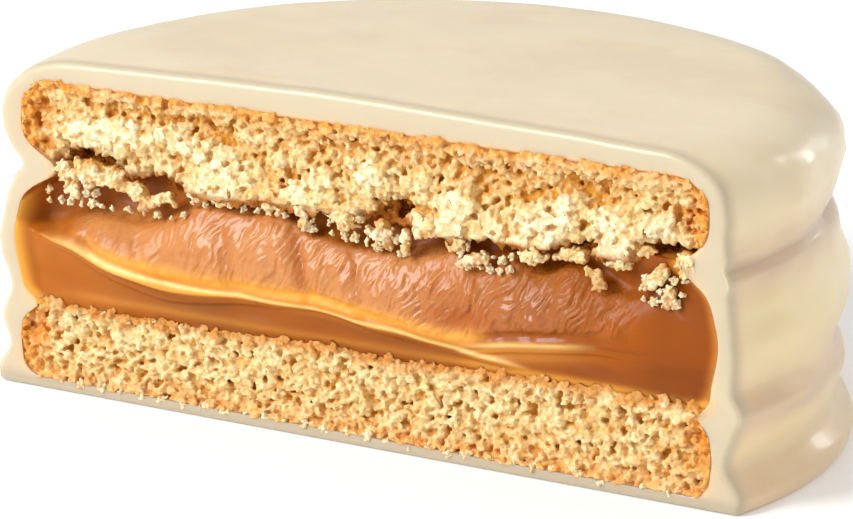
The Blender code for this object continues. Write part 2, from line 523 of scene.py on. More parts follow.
def grain_group() -> bpy.types.NodeTree:
    """Fine grain: a height for a Bump node, from noise and from small round cells."""
    build, given, out = shader_group(
        "food_grain",
        {
            "Place": "NodeSocketVector",
            "Grains per metre": "NodeSocketFloat",
            "Cells": "NodeSocketFloat",
        },
        {"Height": "NodeSocketFloat"},
    )
    fine = build.node("ShaderNodeTexNoise")
    fine.inputs["Detail"].default_value = 4.0
    fine.inputs["Roughness"].default_value = 0.62
    cells = build.node("ShaderNodeTexVoronoi")
    for node in (fine, cells):
        build.join(given["Place"], node.inputs["Vector"])
        build.join(given["Grains per metre"], node.inputs["Scale"])
    round_cell = build.maths("SUBTRACT", 1.0, cells.outputs["Distance"])
    cell_part = build.maths("MULTIPLY", round_cell, given["Cells"])
    build.join(build.maths("ADD", fine.outputs["Fac"], cell_part), out["Height"])
    return build.tree


def granule_group() -> bpy.types.NodeTree:
    """Packed rounded granules: their height, the gaps between them and a tone for each."""
    build, given, out = shader_group(
        "food_granules",
        {"Place": "NodeSocketVector", "Granules per metre": "NodeSocketFloat", "Warp": "NodeSocketFloat"},
        {"Height": "NodeSocketFloat", "Gap": "NodeSocketFloat", "Tone": "NodeSocketFloat"},
    )
    wander = build.node("ShaderNodeTexNoise")
    wander.inputs["Detail"].default_value = 2.0
    build.join(given["Place"], wander.inputs["Vector"])
    build.join(given["Granules per metre"], wander.inputs["Scale"])
    shift = build.node("ShaderNodeVectorMath", operation="SCALE")
    build.join(wander.outputs["Color"], shift.inputs[0])
    build.join(given["Warp"], shift.inputs["Scale"])
    moved = build.node("ShaderNodeVectorMath", operation="ADD")
    build.join(given["Place"], moved.inputs[0])
    build.join(shift.outputs[0], moved.inputs[1])
    cells = build.node("ShaderNodeTexVoronoi")
    build.join(moved.outputs[0], cells.inputs["Vector"])
    build.join(given["Granules per metre"], cells.inputs["Scale"])
    far = cells.outputs["Distance"]
    build.join(build.maths("SUBTRACT", 1.0, build.maths("MULTIPLY", far, far)), out["Height"])
    build.join(build.spread(far, 0.38, 0.68), out["Gap"])
    tone = build.node("ShaderNodeSeparateColor")
    build.join(cells.outputs["Color"], tone.inputs[0])
    build.join(tone.outputs[0], out["Tone"])
    return build.tree


@dataclass(frozen=True)
class Surface:
    """Constants that a food's Principled shader takes directly."""

    roughness: float
    subsurface: float
    scatter: Colour
    scatter_mm: float
    specular: float = 0.5
    coat: float = 0.0
    coat_roughness: float = 0.1

    def start(self, name: str) -> tuple[Shading, bpy.types.Node, bpy.types.Material]:
        """Makes a material whose shader has these constants.

        Args:
            name: the material's name.

        Returns:
            The tree builder, the Principled node and the material.
        """
        material = bpy.data.materials.new(name)
        material.use_nodes = True
        shader = material.node_tree.nodes["Principled BSDF"]
        shader.inputs["Roughness"].default_value = self.roughness
        shader.inputs["Subsurface Weight"].default_value = self.subsurface
        shader.inputs["Subsurface Radius"].default_value = self.scatter
        shader.inputs["Subsurface Scale"].default_value = self.scatter_mm * MM
        shader.inputs["Specular IOR Level"].default_value = self.specular
        shader.inputs["Coat Weight"].default_value = self.coat
        shader.inputs["Coat Roughness"].default_value = self.coat_roughness
        return Shading(material.node_tree), shader, material


@dataclass(frozen=True)
class SharedGroups:
    """The shader groups that the finishes place."""

    mottle: bpy.types.NodeTree
    grain: bpy.types.NodeTree
    granules: bpy.types.NodeTree


@dataclass(frozen=True)
class CoatingFinish:
    """White chocolate: ivory and satin, with a painted warm glow where it thins over the crumb, a painted
    warm shade on its walls, painted shade in its folds and near its foot, a cut face painted darker, and
    greyer along the bottom strip.
    """

    ivory: Colour = srgb(245, 225, 190)
    cream: Colour = srgb(241, 218, 181)
    cut: Colour = srgb(200, 187, 159)
    warm_glow: Colour = srgb(244, 192, 138)
    side: Colour = srgb(248, 221, 174)
    fold_shade: Colour = srgb(210, 181, 152)
    sole_grey: Colour = srgb(180, 166, 143)
    patch_rate: float = 110.0
    streak_rate: float = 320.0
    ripple_rate: float = 900.0

    def make(self, shared: SharedGroups) -> bpy.types.Material:
        """Builds the material from the shared groups."""
        surface = Surface(0.36, 0.6, (1.0, 0.72, 0.45), 1.6, specular=0.4, coat=0.25, coat_roughness=0.22)
        build, shader, material = surface.start("white_coating")
        place = build.place()
        patches = build.group(
            shared.mottle, Place=place, Patches_per_metre=self.patch_rate, Low=0.42, High=0.62
        )
        colour = build.blend(patches.outputs["Mask"], self.ivory, self.cream)
        # Painted warm shade: the walls below the shoulder take a warmer tone than the top.
        colour = build.blend(build.mask("side"), colour, self.side)
        # Painted shade in the wall's creases and near its foot.
        colour = build.blend(build.mask("fold_shade"), colour, self.fold_shade)
        # The cut face is darker: partly its own matte tone, partly painted shade against the strong front
        # light.
        colour = build.blend(build.mask("cut"), colour, self.cut)
        # Painted warm glow of light through the thin coating, strongest at the rim's inner edge.
        colour = build.blend(build.mask("rim"), colour, self.warm_glow)
        # Greyer and darker along the bottom strip.
        colour = build.blend(build.maths("MULTIPLY", build.mask("sole"), 0.9), colour, self.sole_grey)
        build.join(colour, shader.inputs["Base Color"])
        streaks = build.group(
            shared.mottle, Place=place, Patches_per_metre=self.streak_rate, Low=0.3, High=0.75
        )
        build.join(build.spread(streaks.outputs["Mask"], 0.0, 1.0, 0.3, 0.42), shader.inputs["Roughness"])
        ripples = build.group(shared.grain, Place=place, Grains_per_metre=self.ripple_rate, Cells=0.0)
        build.join(build.relief(ripples.outputs["Height"], 0.12, 0.2 * MM), shader.inputs["Normal"])
        return material


@dataclass(frozen=True)
class CrumbFinish:
    """Short, dry crumb: pale inside, golden brown at the crust; its hollows and the gaps between its
    granules take a painted yellow-brown shade, browner within the crust, and lumps that stand proud a
    painted paler highlight.
    """

    pale: Colour = srgb(249, 240, 203)
    cream: Colour = srgb(244, 225, 168)
    straw: Colour = srgb(235, 203, 134)
    hollow_shade: Colour = srgb(206, 143, 50)
    crust: Colour = srgb(246, 174, 74)
    dark_crust: Colour = srgb(230, 144, 34)
    crust_hollow_shade: Colour = srgb(188, 100, 8)
    soaked_and_shade: Colour = srgb(168, 98, 26)
    granule_rate: float = 2600.0
    patch_rate: float = 420.0
    baked_rate: float = 600.0
    dust_rate: float = 5200.0

    def make(self, name: str, shared: SharedGroups) -> bpy.types.Material:
        """Builds the material from the shared groups."""
        surface = Surface(0.82, 0.22, (1.0, 0.55, 0.22), 0.4, specular=0.22)
        build, shader, material = surface.start(name)
        place = build.place()
        granules = build.group(
            shared.granules, Place=place, Granules_per_metre=self.granule_rate, Warp=0.3 * MM
        )
        patches = build.group(
            shared.mottle, Place=place, Patches_per_metre=self.patch_rate, Low=0.4, High=0.64
        )
        colour = build.blend(patches.outputs["Mask"], self.straw, self.cream)
        colour = build.blend(build.maths("MULTIPLY", granules.outputs["Tone"], 0.55), colour, self.pale)
        # Painted highlight: lumps that stand proud are painted paler.
        colour = build.blend(build.mask("pale"), colour, self.pale)
        baked = build.group(
            shared.mottle, Place=place, Patches_per_metre=self.baked_rate, Low=0.35, High=0.65
        )
        crust = build.blend(baked.outputs["Mask"], self.dark_crust, self.crust)
        crust = build.blend(build.maths("MULTIPLY", granules.outputs["Tone"], 0.5), crust, self.straw)
        colour = build.blend(build.mask("crust"), colour, crust)
        # Painted shade: hollows and the gaps between granules take a yellow-brown shade colour, browner
        # within the crust.
        deep = build.blend(build.mask("crust"), self.hollow_shade, self.crust_hollow_shade)
        colour = build.blend(build.mask("hollow"), colour, deep)
        colour = build.blend(build.maths("MULTIPLY", granules.outputs["Gap"], 0.4), colour, deep)
        # Caramel-soak colour near the caramel, also used as painted shade in deep voids.
        colour = build.blend(build.mask("soaked_and_shade"), colour, self.soaked_and_shade)
        build.join(colour, shader.inputs["Base Color"])
        domes = build.relief(granules.outputs["Height"], 0.6, 0.17 * MM)
        dust = build.group(shared.grain, Place=place, Grains_per_metre=self.dust_rate, Cells=0.4)
        build.join(build.relief(dust.outputs["Height"], 0.4, 0.1 * MM, domes), shader.inputs["Normal"])
        return material


@dataclass(frozen=True)
class CaramelFinish:
    """Thick milk caramel: brown in the body, glossy and wrinkled, orange with a painted glow where it is
    thinly spread; painted highlights on its lips, a painted sheen on its lit bulge and painted shade in its
    band, dips, folds, creases and right end.
    """

    body: Colour = srgb(176, 100, 26)
    skin: Colour = srgb(186, 108, 34)
    lit_sheen: Colour = srgb(200, 132, 72)
    amber_and_shade: Colour = srgb(174, 88, 4)
    glow: Colour = srgb(242, 172, 70)
    lip_highlight: Colour = srgb(254, 208, 128)
    shade: Colour = srgb(142, 80, 25)
    dim: Colour = srgb(142, 72, 14)
    crease_shade: Colour = srgb(112, 52, 6)
    patch_rate: float = 260.0
    streak_rate: float = 900.0
    wrinkle_rate: float = 3000.0

    def make(self, shared: SharedGroups) -> bpy.types.Material:
        """Builds the material from the shared groups."""
        scatter = (1.0, 0.42, 0.12)
        surface = Surface(0.4, 0.35, scatter, 1.0, specular=0.14, coat_roughness=0.2)
        build, shader, material = surface.start("caramel")
        patches = build.group(
            shared.mottle, Place=build.place(), Patches_per_metre=self.patch_rate, Low=0.36, High=0.64
        )
        colour = build.blend(patches.outputs["Mask"], self.body, self.skin)
        # Painted sheen: the lit, wrinkled bulge takes a paler peach colour for the key light's reflection.
        colour = build.blend(build.mask("lit_sheen"), colour, self.lit_sheen)
        colour = build.blend(build.mask("shade"), colour, self.shade)
        # Painted shade that darkens the caramel towards the right.
        colour = build.blend(build.mask("dim"), colour, self.dim)
        along = build.drawn_out(0.04, (9.0, 1.0, 1.0))
        streaks = build.group(
            shared.mottle, Place=along, Patches_per_metre=self.streak_rate, Low=0.42, High=0.62
        )
        colour = build.blend(build.maths("MULTIPLY", streaks.outputs["Mask"], 0.3), colour, self.amber_and_shade)
        # Partly the caramel's own orange-brown, partly painted shade in its dip, along its folds and at its
        # right end.
        colour = build.blend(build.mask("amber_and_shade"), colour, self.amber_and_shade)
        # Painted glow of light through thin caramel: in the groove above the lip, along the foot, on the
        # lip's face and at the ends by the coating.
        colour = build.blend(build.mask("glow"), colour, self.glow)
        # Painted shade under the left lip and at the right end.
        colour = build.blend(build.mask("crease_shade"), colour, self.crease_shade)
        # Painted highlight and glow along the crests of the lips.
        colour = build.blend(build.mask("lip_highlight"), colour, self.lip_highlight)
        build.join(colour, shader.inputs["Base Color"])
        wrinkled = build.mask("wrinkled")
        build.join(build.spread(wrinkled, 0.0, 1.0, 0.36, 0.32), shader.inputs["Roughness"])
        build.join(build.spread(build.mask("glossy"), 0.0, 1.0, 0.04, 0.6), shader.inputs["Coat Weight"])
        pulled = build.drawn_out(0.55, (1.0, 1.0, 3.4))
        fine = build.group(shared.grain, Place=pulled, Grains_per_metre=self.wrinkle_rate, Cells=0.25)
        height = build.maths("MULTIPLY", fine.outputs["Height"], wrinkled)
        build.join(build.relief(height, 0.8, 0.2 * MM), shader.inputs["Normal"])
        return material


@dataclass(frozen=True)
class Larder:
    """Every finish, made once."""

    coating: bpy.types.Material
    crumb: bpy.types.Material
    caramel: bpy.types.Material

    @classmethod
    def stocked(cls) -> "Larder":
        """Builds the shared groups and the materials."""
        shared = SharedGroups(mottle_group(), grain_group(), granule_group())
        return cls(
            coating=CoatingFinish().make(shared),
            crumb=CrumbFinish().make("cookie_crumb", shared),
            caramel=CaramelFinish().make(shared),
        )


def serve(obj: bpy.types.Object, material: bpy.types.Material, slot: str, *nodes: str) -> bpy.types.Object:
    """Dresses a finished piece and puts it on the body.

    Args:
        obj: the piece, in place.
        material: its finish.
        slot: the record's material slot; not used.
        nodes: the CAD nodes that it stands for.

    Returns:
        The piece.
    """
    obj.data.materials.clear()
    obj.data.materials.append(material)
    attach(obj, BODY)
    if nodes:
        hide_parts(*nodes)
    LOG.info("%s: %d points, %d faces", obj.name, len(obj.data.vertices), len(obj.data.polygons))
    return obj


# ---------------------------------------------------------------------------------------------
# The coating
# ---------------------------------------------------------------------------------------------


@dataclass
class Coating:
    """The white chocolate shell, open at the cut, with a rounded lip where the knife went in."""

    disc: Disc
    dome_drop: float = 0.7
    dome_radius: float = 29.5
    shoulder_width: float = 5.6
    shoulder_drop: float = 4.0
    waist: float = 28.3
    wall_swells: Swells = ((0.9, 1.7, 1.6), (5.0, 1.0, 1.8), (11.0, 1.25, 3.6), (19.9, 0.85, 1.9))
    wall_creases: Swells = ((16.2, -0.6, 0.6), (7.2, -0.22, 0.7))
    right_end_swells: Swells = ((7.1, 0.75, 1.1), (19.9, -0.5, 1.8), (11.5, -0.35, 2.2))
    fold_shade_bands: Swells = ((15.9, 0.95, 1.5), (6.4, 0.75, 1.5))
    foot_round: float = 0.5
    lip: float = 0.45
    lip_turns: tuple[float, ...] = (22.0, 45.0, 68.0, 90.0)
    rim_shares: tuple[float, ...] = (0.25, 0.5, 0.75, 0.92)
    inner_waist: float = 27.6
    inner_swells: Swells = ((16.1, -2.4, 1.3), (11.0, 0.7, 2.6), (6.3, -1.15, 0.8), (3.6, 0.35, 2.2))
    inner_top: float = 22.05
    inner_base: float = 0.85
    inner_round: float = 2.4
    inner_low_round: float = 1.5
    tick: tuple[float, float] = (10.5, 16.4)  # a small raised drag mark on the top
    columns: int = 240
    inner_columns: int = 48
    top_rows: int = 22
    round_rows: int = 12
    wall_rows: int = 46
    foot_rows: int = 5

    def wall_radius(self, z: Points) -> Points:
        """Radius of the outside at a height on the wall."""
        return self.waist + swelling(z, self.wall_swells + self.wall_creases)

    def inner_radius(self, z: Points) -> Points:
        """Radius of the inside: wide at the layers, thick wedges where two layers meet."""
        return self.inner_waist + swelling(z, self.inner_swells)

    def dome(self, radius: Points) -> Points:
        """Height of the top at a radius."""
        return self.disc.height - self.dome_drop * (radius / self.dome_radius) ** 2

    @staticmethod
    def swept(rings: Sequence[tuple[float, float, float]], columns: int, start_y: float) -> Points:
        """Rows of points on rays that fan out over half a turn from a point of the Y axis.

        Args:
            rings: for each row, its share of the way out, the full radius and the height.
            columns: points in a row.
            start_y: where on the Y axis the rays start.

        Returns:
            The points, by row and column.
        """
        angle = np.linspace(0.0, math.pi, columns)
        rows = []
        for share, radius, z in rings:
            distance = share * reach(angle, radius, start_y)
            x, y = distance * np.cos(angle), distance * np.sin(angle) + start_y
            rows.append(np.column_stack((x, y, np.full(columns, z))))
        return np.array(rows)

    def outer(self) -> Points:
        """Points of the outside, in rows from the middle of the cut's top edge to its bottom edge."""
        low = self.disc.height - self.dome_drop - self.shoulder_drop
        inner = float(self.wall_radius(low)) - self.shoulder_width
        shoulder = (self.shoulder_width, float(self.dome(inner)) - low)
        profile = quarter_turn(90.0, 0.0, self.round_rows, (inner, low), shoulder)
        for z in np.linspace(low, self.foot_round, self.wall_rows + 1)[1:]:
            profile.append((float(self.wall_radius(z)), z))
        foot = profile[-1][0] - self.foot_round
        profile += quarter_turn(0.0, -90.0, self.foot_rows, (foot, self.foot_round), (self.foot_round,) * 2)
        rings = [(share, inner, 0.0) for share in np.linspace(0.0, 1.0, self.top_rows)]
        rings += [(1.0, radius, z) for radius, z in profile]
        rings += [(share, foot, 0.0) for share in np.linspace(1.0, 0.0, self.foot_rows)[1:]]
        points = self.swept(rings, self.columns, self.lip - CUT_DISTANCE)
        top = points[: self.top_rows]
        top[:, :, 2] = self.dome(np.hypot(top[:, :, 0], top[:, :, 1]))
        return points

    def inner(self) -> Points:
        """Points of the inside, in as many rows as the outside."""
        high, low = self.inner_top - self.inner_round, self.inner_base + self.inner_low_round
        top = float(self.inner_radius(high)) - self.inner_round
        base = float(self.inner_radius(low)) - self.inner_low_round
        profile = quarter_turn(90.0, 0.0, self.round_rows, (top, high), (self.inner_round,) * 2)
        for z in np.linspace(high, low, self.wall_rows + 1)[1:]:
            profile.append((float(self.inner_radius(z)), z))
        profile += quarter_turn(0.0, -90.0, self.foot_rows, (base, low), (self.inner_low_round,) * 2)
        rings = [(share, top, self.inner_top) for share in np.linspace(0.0, 1.0, self.top_rows)]
        rings += [(1.0, radius, z) for radius, z in profile]
        rings += [(share, base, self.inner_base) for share in np.linspace(1.0, 0.0, self.foot_rows)[1:]]
        return self.swept(rings, self.inner_columns, -CUT_DISTANCE)

    def unevenness(self, points: Points) -> Points:
        """Moves the outside's points as a dipped, hand-made coating does.

        Args:
            points: rows of points on the outside, in millimetres.

        Returns:
            The moved points.
        """
        x, y, z = points.T
        radius = np.hypot(x, y)
        out = points[:, :2] / np.maximum(radius, 1.0)[:, None]
        wall = rise(24.0, 27.5, radius) * rise(0.3, 2.0, z)
        waves = 0.26 * rough(points, (9.0, 9.0, 3.4), 3, 1.0) + 0.05 * rough(points, (2.6, 2.6, 1.4), 2, 2.0)
        at_right = swelling(z, self.right_end_swells) * self.disc.end(x, y)
        moved = points.copy()
        moved[:, :2] += out * (wall * waves + at_right)[:, None]
        broad, fine = rough(points, (11.0, 8.0, 9.0), 3, 3.0), rough(points, (2.5, 1.8, 2.0), 2, 4.0)
        tick_x, tick_y = x - self.tick[0], y - self.tick[1]
        along, across = 0.94 * tick_x + 0.34 * tick_y, -0.34 * tick_x + 0.94 * tick_y
        tick = 0.16 * np.exp(-((along / 1.9) ** 2) - (across / 0.35) ** 2)
        moved[:, 2] += rise(21.5, 23.4, z) * (0.10 * broad + 0.015 * fine + tick)
        return moved

    def build(self) -> bpy.types.Object:
        """Builds the shell: outside, lip, cut rim and inside."""
        outer, inner = self.outer(), self.inner()
        rows = len(outer)
        flat = self.unevenness(outer.reshape(-1, 3))
        outer = flat.reshape(outer.shape)
        inner_start = rows * self.columns
        faces = grid_faces(rows, self.columns) + grid_faces(rows, self.inner_columns, inner_start)

        def loop(patch: Points) -> Points:
            """The edge of a patch that lies in the cut, once round."""
            return np.vstack((patch[:, 0], patch[-2:0:-1, -1]))

        edge, hollow = loop(outer), loop(inner)
        tangent = np.roll(edge, -1, axis=0) - np.roll(edge, 1, axis=0)
        normal = np.column_stack((-tangent[:, 2], tangent[:, 0]))
        normal /= np.linalg.norm(normal, axis=1)[:, None]
        middle = np.array((0.0, self.disc.height / 2))
        facing = ((middle - edge[:, [0, 2]]) * normal).sum(axis=1)
        normal *= np.sign(facing.sum())
        bands = [edge]
        for a in np.radians(self.lip_turns):
            step = edge.copy()
            step[:, [0, 2]] += normal * self.lip * (1 - math.cos(a))
            step[:, 1] -= self.lip * math.sin(a)
            bands.append(step)
        face = bands[-1]
        rim_shares = [0.0] * len(bands)
        for share in self.rim_shares:
            step = face + (hollow - face) * share
            step[:, 1] += 0.05 * rough(step, (2.2, 2.2, 2.2), 2, 5.0) + 0.04 * share
            bands.append(step)
            rim_shares.append(share)
        bands.append(hollow + np.array((0.0, 0.12, 0.0)))
        rim_shares.append(1.0)
        count = len(edge)
        start = inner_start + rows * self.inner_columns
        faces += grid_faces(len(bands), count, start, closed=True)
        points = np.vstack((flat, inner.reshape(-1, 3), *bands))
        shares = np.concatenate((np.zeros(start), np.repeat(rim_shares, count)))
        shares[inner_start:start] = 1.0
        made = make_mesh("coating_shell", self.disc.settle(points), faces, merge=0.000004, crisp=50.0)
        self.tint(made, points, shares)
        return made

    def tint(self, made: bpy.types.Object, points: Points, shares: Points) -> None:
        """Paints a painted warm glow on the rim, a darker cut face that is partly painted shade, a painted
        warm shade on the wall, painted shade in its folds and near its foot, and a greyer sole.

        Args:
            made: the built shell, whose points may be fewer than those it was built from.
            points: the points before they were merged, in millimetres round the axis.
            shares: how far across the rim each of those lies, from 0 to 1.
        """
        settled = self.disc.settle(points)
        tree = KDTree(len(settled))
        for index, point in enumerate(settled):
            tree.insert(point, index)
        tree.balance()
        nearest = [tree.find(p)[1] for p in points_of(made).tolist()]
        near, spot = shares[nearest], points[nearest]
        y, z = spot[:, 1], spot[:, 2]
        # Painted warm glow over the rim face, strongest at its inner edge by the crumb.
        paint(made, "rim", 0.15 * near + 0.7 * rise(0.72, 1.0, near))
        # The cut face, painted darker: partly its own matte tone, partly painted shade.
        paint(made, "cut", 1.0 - rise(-CUT_DISTANCE + 0.1, -CUT_DISTANCE + 1.6, y))
        # Painted warm shade on the walls below the shoulder.
        paint(made, "side", 1.0 - rise(15.0, 21.5, z))
        # Painted shade in two bands at the wall's creases and near the foot.
        drifted = z + 0.8 * rough(spot, (7.0, 7.0, 3.0), 2, 7.0)
        fold_shade = swelling(drifted, self.fold_shade_bands) + 0.6 * (1.0 - rise(0.5, 5.0, z))
        paint(made, "fold_shade", np.clip(fold_shade, 0.0, 1.0) * (1.0 - rise(22.0, 22.6, z)))
        # The bottom strip, painted greyer and darker.
        paint(made, "sole", (1.0 - rise(0.5, 1.3, z)) * (1.0 - rise(0.1, 0.9, y + CUT_DISTANCE)))


# ---------------------------------------------------------------------------------------------
# Crumb
# ---------------------------------------------------------------------------------------------


@dataclass(frozen=True)
class CrumbRecipe:
    """How a crumb breaks: its lumps and the grains that cover them, in millimetres."""

    lump_spacing: float
    lump_radius: float
    grain_spacing: float
    grain_radius: float
    voxel: float
    granule: float


class Crumb(Enum):
    """The crumbs of the two cookies, and of the clumps that fell out of the upper one."""

    COARSE = CrumbRecipe(0.88, 0.56, 0.36, 0.23, 0.085, 0.55)
    FINE = CrumbRecipe(0.76, 0.42, 0.33, 0.20, 0.085, 0.48)
    FALLEN = CrumbRecipe(0.8, 0.36, 0.30, 0.20, 0.07, 0.36)


class GeometryTree:
    """A Geometry Nodes tree under construction."""

    def __init__(self, name: str, inputs: dict[str, tuple[str, object]]) -> None:
        """Starts a tree.

        Args:
            name: the tree's name.
            inputs: socket type and starting value by input name, after the geometry.
        """
        self.tree = bpy.data.node_groups.new(name, "GeometryNodeTree")
        face = self.tree.interface
        face.new_socket(name="Geometry", in_out="INPUT", socket_type="NodeSocketGeometry")
        face.new_socket(name="Geometry", in_out="OUTPUT", socket_type="NodeSocketGeometry")
        for label, (kind, value) in inputs.items():
            made = face.new_socket(name=label, in_out="INPUT", socket_type=kind)
            if value is not None:
                made.default_value = value
        self.given = self.node("NodeGroupInput").outputs
        self.result = self.node("NodeGroupOutput").inputs

    def node(self, kind: str, sockets: dict | None = None, **settings: object) -> bpy.types.Node:
        """Adds a node with settings, and links or sets its sockets by name or number."""
        made = self.tree.nodes.new(kind)
        for name, value in settings.items():
            setattr(made, name, value)
        for name, value in (sockets or {}).items():
            if isinstance(value, bpy.types.NodeSocket):
                self.tree.links.new(value, made.inputs[name])
            else:
                made.inputs[name].default_value = value
        return made

    def below(self, value: object, limit: object) -> bpy.types.NodeSocket:
        """Whether a value lies below a limit."""
        sockets = {0: value, 1: limit}
        return self.node("FunctionNodeCompare", sockets, data_type="FLOAT", operation="LESS_THAN").outputs[0]

    def scatter(
        self,
        ground: object,
        chosen: object,
        spacing: object,
        shape: object,
        seed: int,
        sizes: tuple[float, float],
    ) -> bpy.types.NodeSocket:
        """Strews turned, unevenly sized copies of a shape over chosen faces, and realizes them.

        Args:
            ground: the mesh to strew on.
            chosen: which faces take any.
            spacing: least distance between two.
            shape: the shape.
            seed: draws the places, turns and sizes.
            sizes: smallest and largest scale along each axis.

        Returns:
            The realized copies.
        """
        spots = self.node(
            "GeometryNodeDistributePointsOnFaces",
            {
                "Mesh": ground,
                "Selection": chosen,
                "Distance Min": spacing,
                "Density Max": MOST_GRAINS,
                "Seed": seed,
            },
            distribute_method="POISSON",
        )
        turn = self.node(
            "FunctionNodeRandomValue",
            {0: (0.0,) * 3, 1: (FULL_TURN,) * 3, "Seed": seed + 1},
            data_type="FLOAT_VECTOR",
        )
        size = self.node(
            "FunctionNodeRandomValue",
            {0: (sizes[0],) * 3, 1: (sizes[1],) * 3, "Seed": seed + 2},
            data_type="FLOAT_VECTOR",
        )
        copies = self.node(
            "GeometryNodeInstanceOnPoints",
            {
                "Points": spots.outputs["Points"],
                "Instance": shape,
                "Rotation": turn.outputs[0],
                "Scale": size.outputs[0],
            },
        )
        return self.node("GeometryNodeRealizeInstances", {"Geometry": copies.outputs[0]}).outputs[0]

    def finish(self, geometry: object, material: object) -> bpy.types.NodeTree:
        """Realizes and dresses the result, and closes the tree."""
        realized = self.node("GeometryNodeRealizeInstances", {"Geometry": geometry})
        sockets = {"Geometry": realized.outputs[0], "Material": material}
        dressed = self.node("GeometryNodeSetMaterial", sockets)
        self.tree.links.new(dressed.outputs[0], self.result[0])
        return self.tree


def crumb_tree() -> bpy.types.NodeTree:
    """Lumps over the front of a core, and grains over lumps and core, for a remesh to fuse."""
    build = GeometryTree(
        "crumb_lumps",
        {
            "Lump Spacing": ("NodeSocketFloat", 1.2),
            "Lump Radius": ("NodeSocketFloat", 0.9),
            "Grain Spacing": ("NodeSocketFloat", 0.45),
            "Grain Radius": ("NodeSocketFloat", 0.28),
            "Front": ("NodeSocketFloat", 0.3),
            "Material": ("NodeSocketMaterial", None),
        },
    )
    given = build.given
    facing = build.node("ShaderNodeSeparateXYZ", {0: build.node("GeometryNodeInputNormal").outputs[0]})
    place = build.node("ShaderNodeSeparateXYZ", {0: build.node("GeometryNodeInputPosition").outputs[0]})
    forward = build.below(facing.outputs["Y"], -0.15)
    near = build.below(place.outputs["Y"], given["Front"])
    chosen = build.node("FunctionNodeBooleanMath", {0: forward, 1: near}, operation="AND").outputs[0]
    lump = build.node("GeometryNodeMeshIcoSphere", {"Radius": given["Lump Radius"], "Subdivisions": 2})
    lumps = build.scatter(given["Geometry"], chosen, given["Lump Spacing"], lump.outputs[0], 11, (0.6, 1.4))
    body = build.node("GeometryNodeJoinGeometry")
    build.tree.links.new(given["Geometry"], body.inputs[0])
    build.tree.links.new(lumps, body.inputs[0])
    grain = build.node("GeometryNodeMeshIcoSphere", {"Radius": given["Grain Radius"], "Subdivisions": 2})
    grains = build.scatter(body.outputs[0], chosen, given["Grain Spacing"], grain.outputs[0], 23, (0.5, 1.4))
    whole = build.node("GeometryNodeJoinGeometry")
    build.tree.links.new(body.outputs[0], whole.inputs[0])
    build.tree.links.new(grains, whole.inputs[0])
    return build.finish(whole.outputs[0], given["Material"])


def strewing_tree() -> bpy.types.NodeTree:
    """Loose grains strewn over a ground that is then left out."""
    build = GeometryTree(
        "loose_grains",
        {
            "Spacing": ("NodeSocketFloat", 1.0),
            "Radius": ("NodeSocketFloat", 0.2),
            "Material": ("NodeSocketMaterial", None),
        },
    )
    given = build.given
    core = build.node("GeometryNodeMeshIcoSphere", {"Radius": given["Radius"], "Subdivisions": 2})
    cores = build.scatter(given["Geometry"], True, given["Spacing"], core.outputs[0], 31, (0.35, 1.5))
    knob_radius = build.node("ShaderNodeMath", {0: given["Radius"], 1: 0.55}, operation="MULTIPLY")
    knob = build.node("GeometryNodeMeshIcoSphere", {"Radius": knob_radius.outputs[0], "Subdivisions": 2})
    knobs = build.scatter(cores, True, given["Radius"], knob.outputs[0], 37, (0.5, 1.3))
    whole = build.node("GeometryNodeJoinGeometry")
    build.tree.links.new(cores, whole.inputs[0])
    build.tree.links.new(knobs, whole.inputs[0])
    return build.finish(whole.outputs[0], given["Material"])


def grow(obj: bpy.types.Object, tree: bpy.types.NodeTree, values: dict[str, object]) -> bpy.types.Object:
    """Runs a Geometry Nodes tree on an object and keeps the plain result.

    Args:
        obj: the object that the tree starts from.
        tree: the tree.
        values: its inputs by name.

    Returns:
        The plain object that takes its place.
    """
    modifier = obj.modifiers.new("grow", "NODES")
    modifier.node_group = tree
    sockets = {s.name: s.identifier for s in tree.interface.items_tree if s.in_out == "INPUT"}
    for name, value in values.items():
        modifier[sockets[name]] = value
    return plain(obj)


def fuse(obj: bpy.types.Object, voxel: float) -> bpy.types.Object:
    """Fuses an object's overlapping shells into one skin by a voxel remesh."""
    remesh = obj.modifiers.new("fuse", "REMESH")
    remesh.mode = "VOXEL"
    remesh.voxel_size = voxel
    return plain(obj)


def thin_out(obj: bpy.types.Object, triangles: int) -> bpy.types.Object:
    """Brings a mesh down to a number of triangles, flat parts first."""
    have = sum(len(face.vertices) - 2 for face in obj.data.polygons)
    if have <= triangles:
        return obj
    fewer = obj.modifiers.new("thin_out", "DECIMATE")
    fewer.ratio = triangles / have
    return plain(obj)


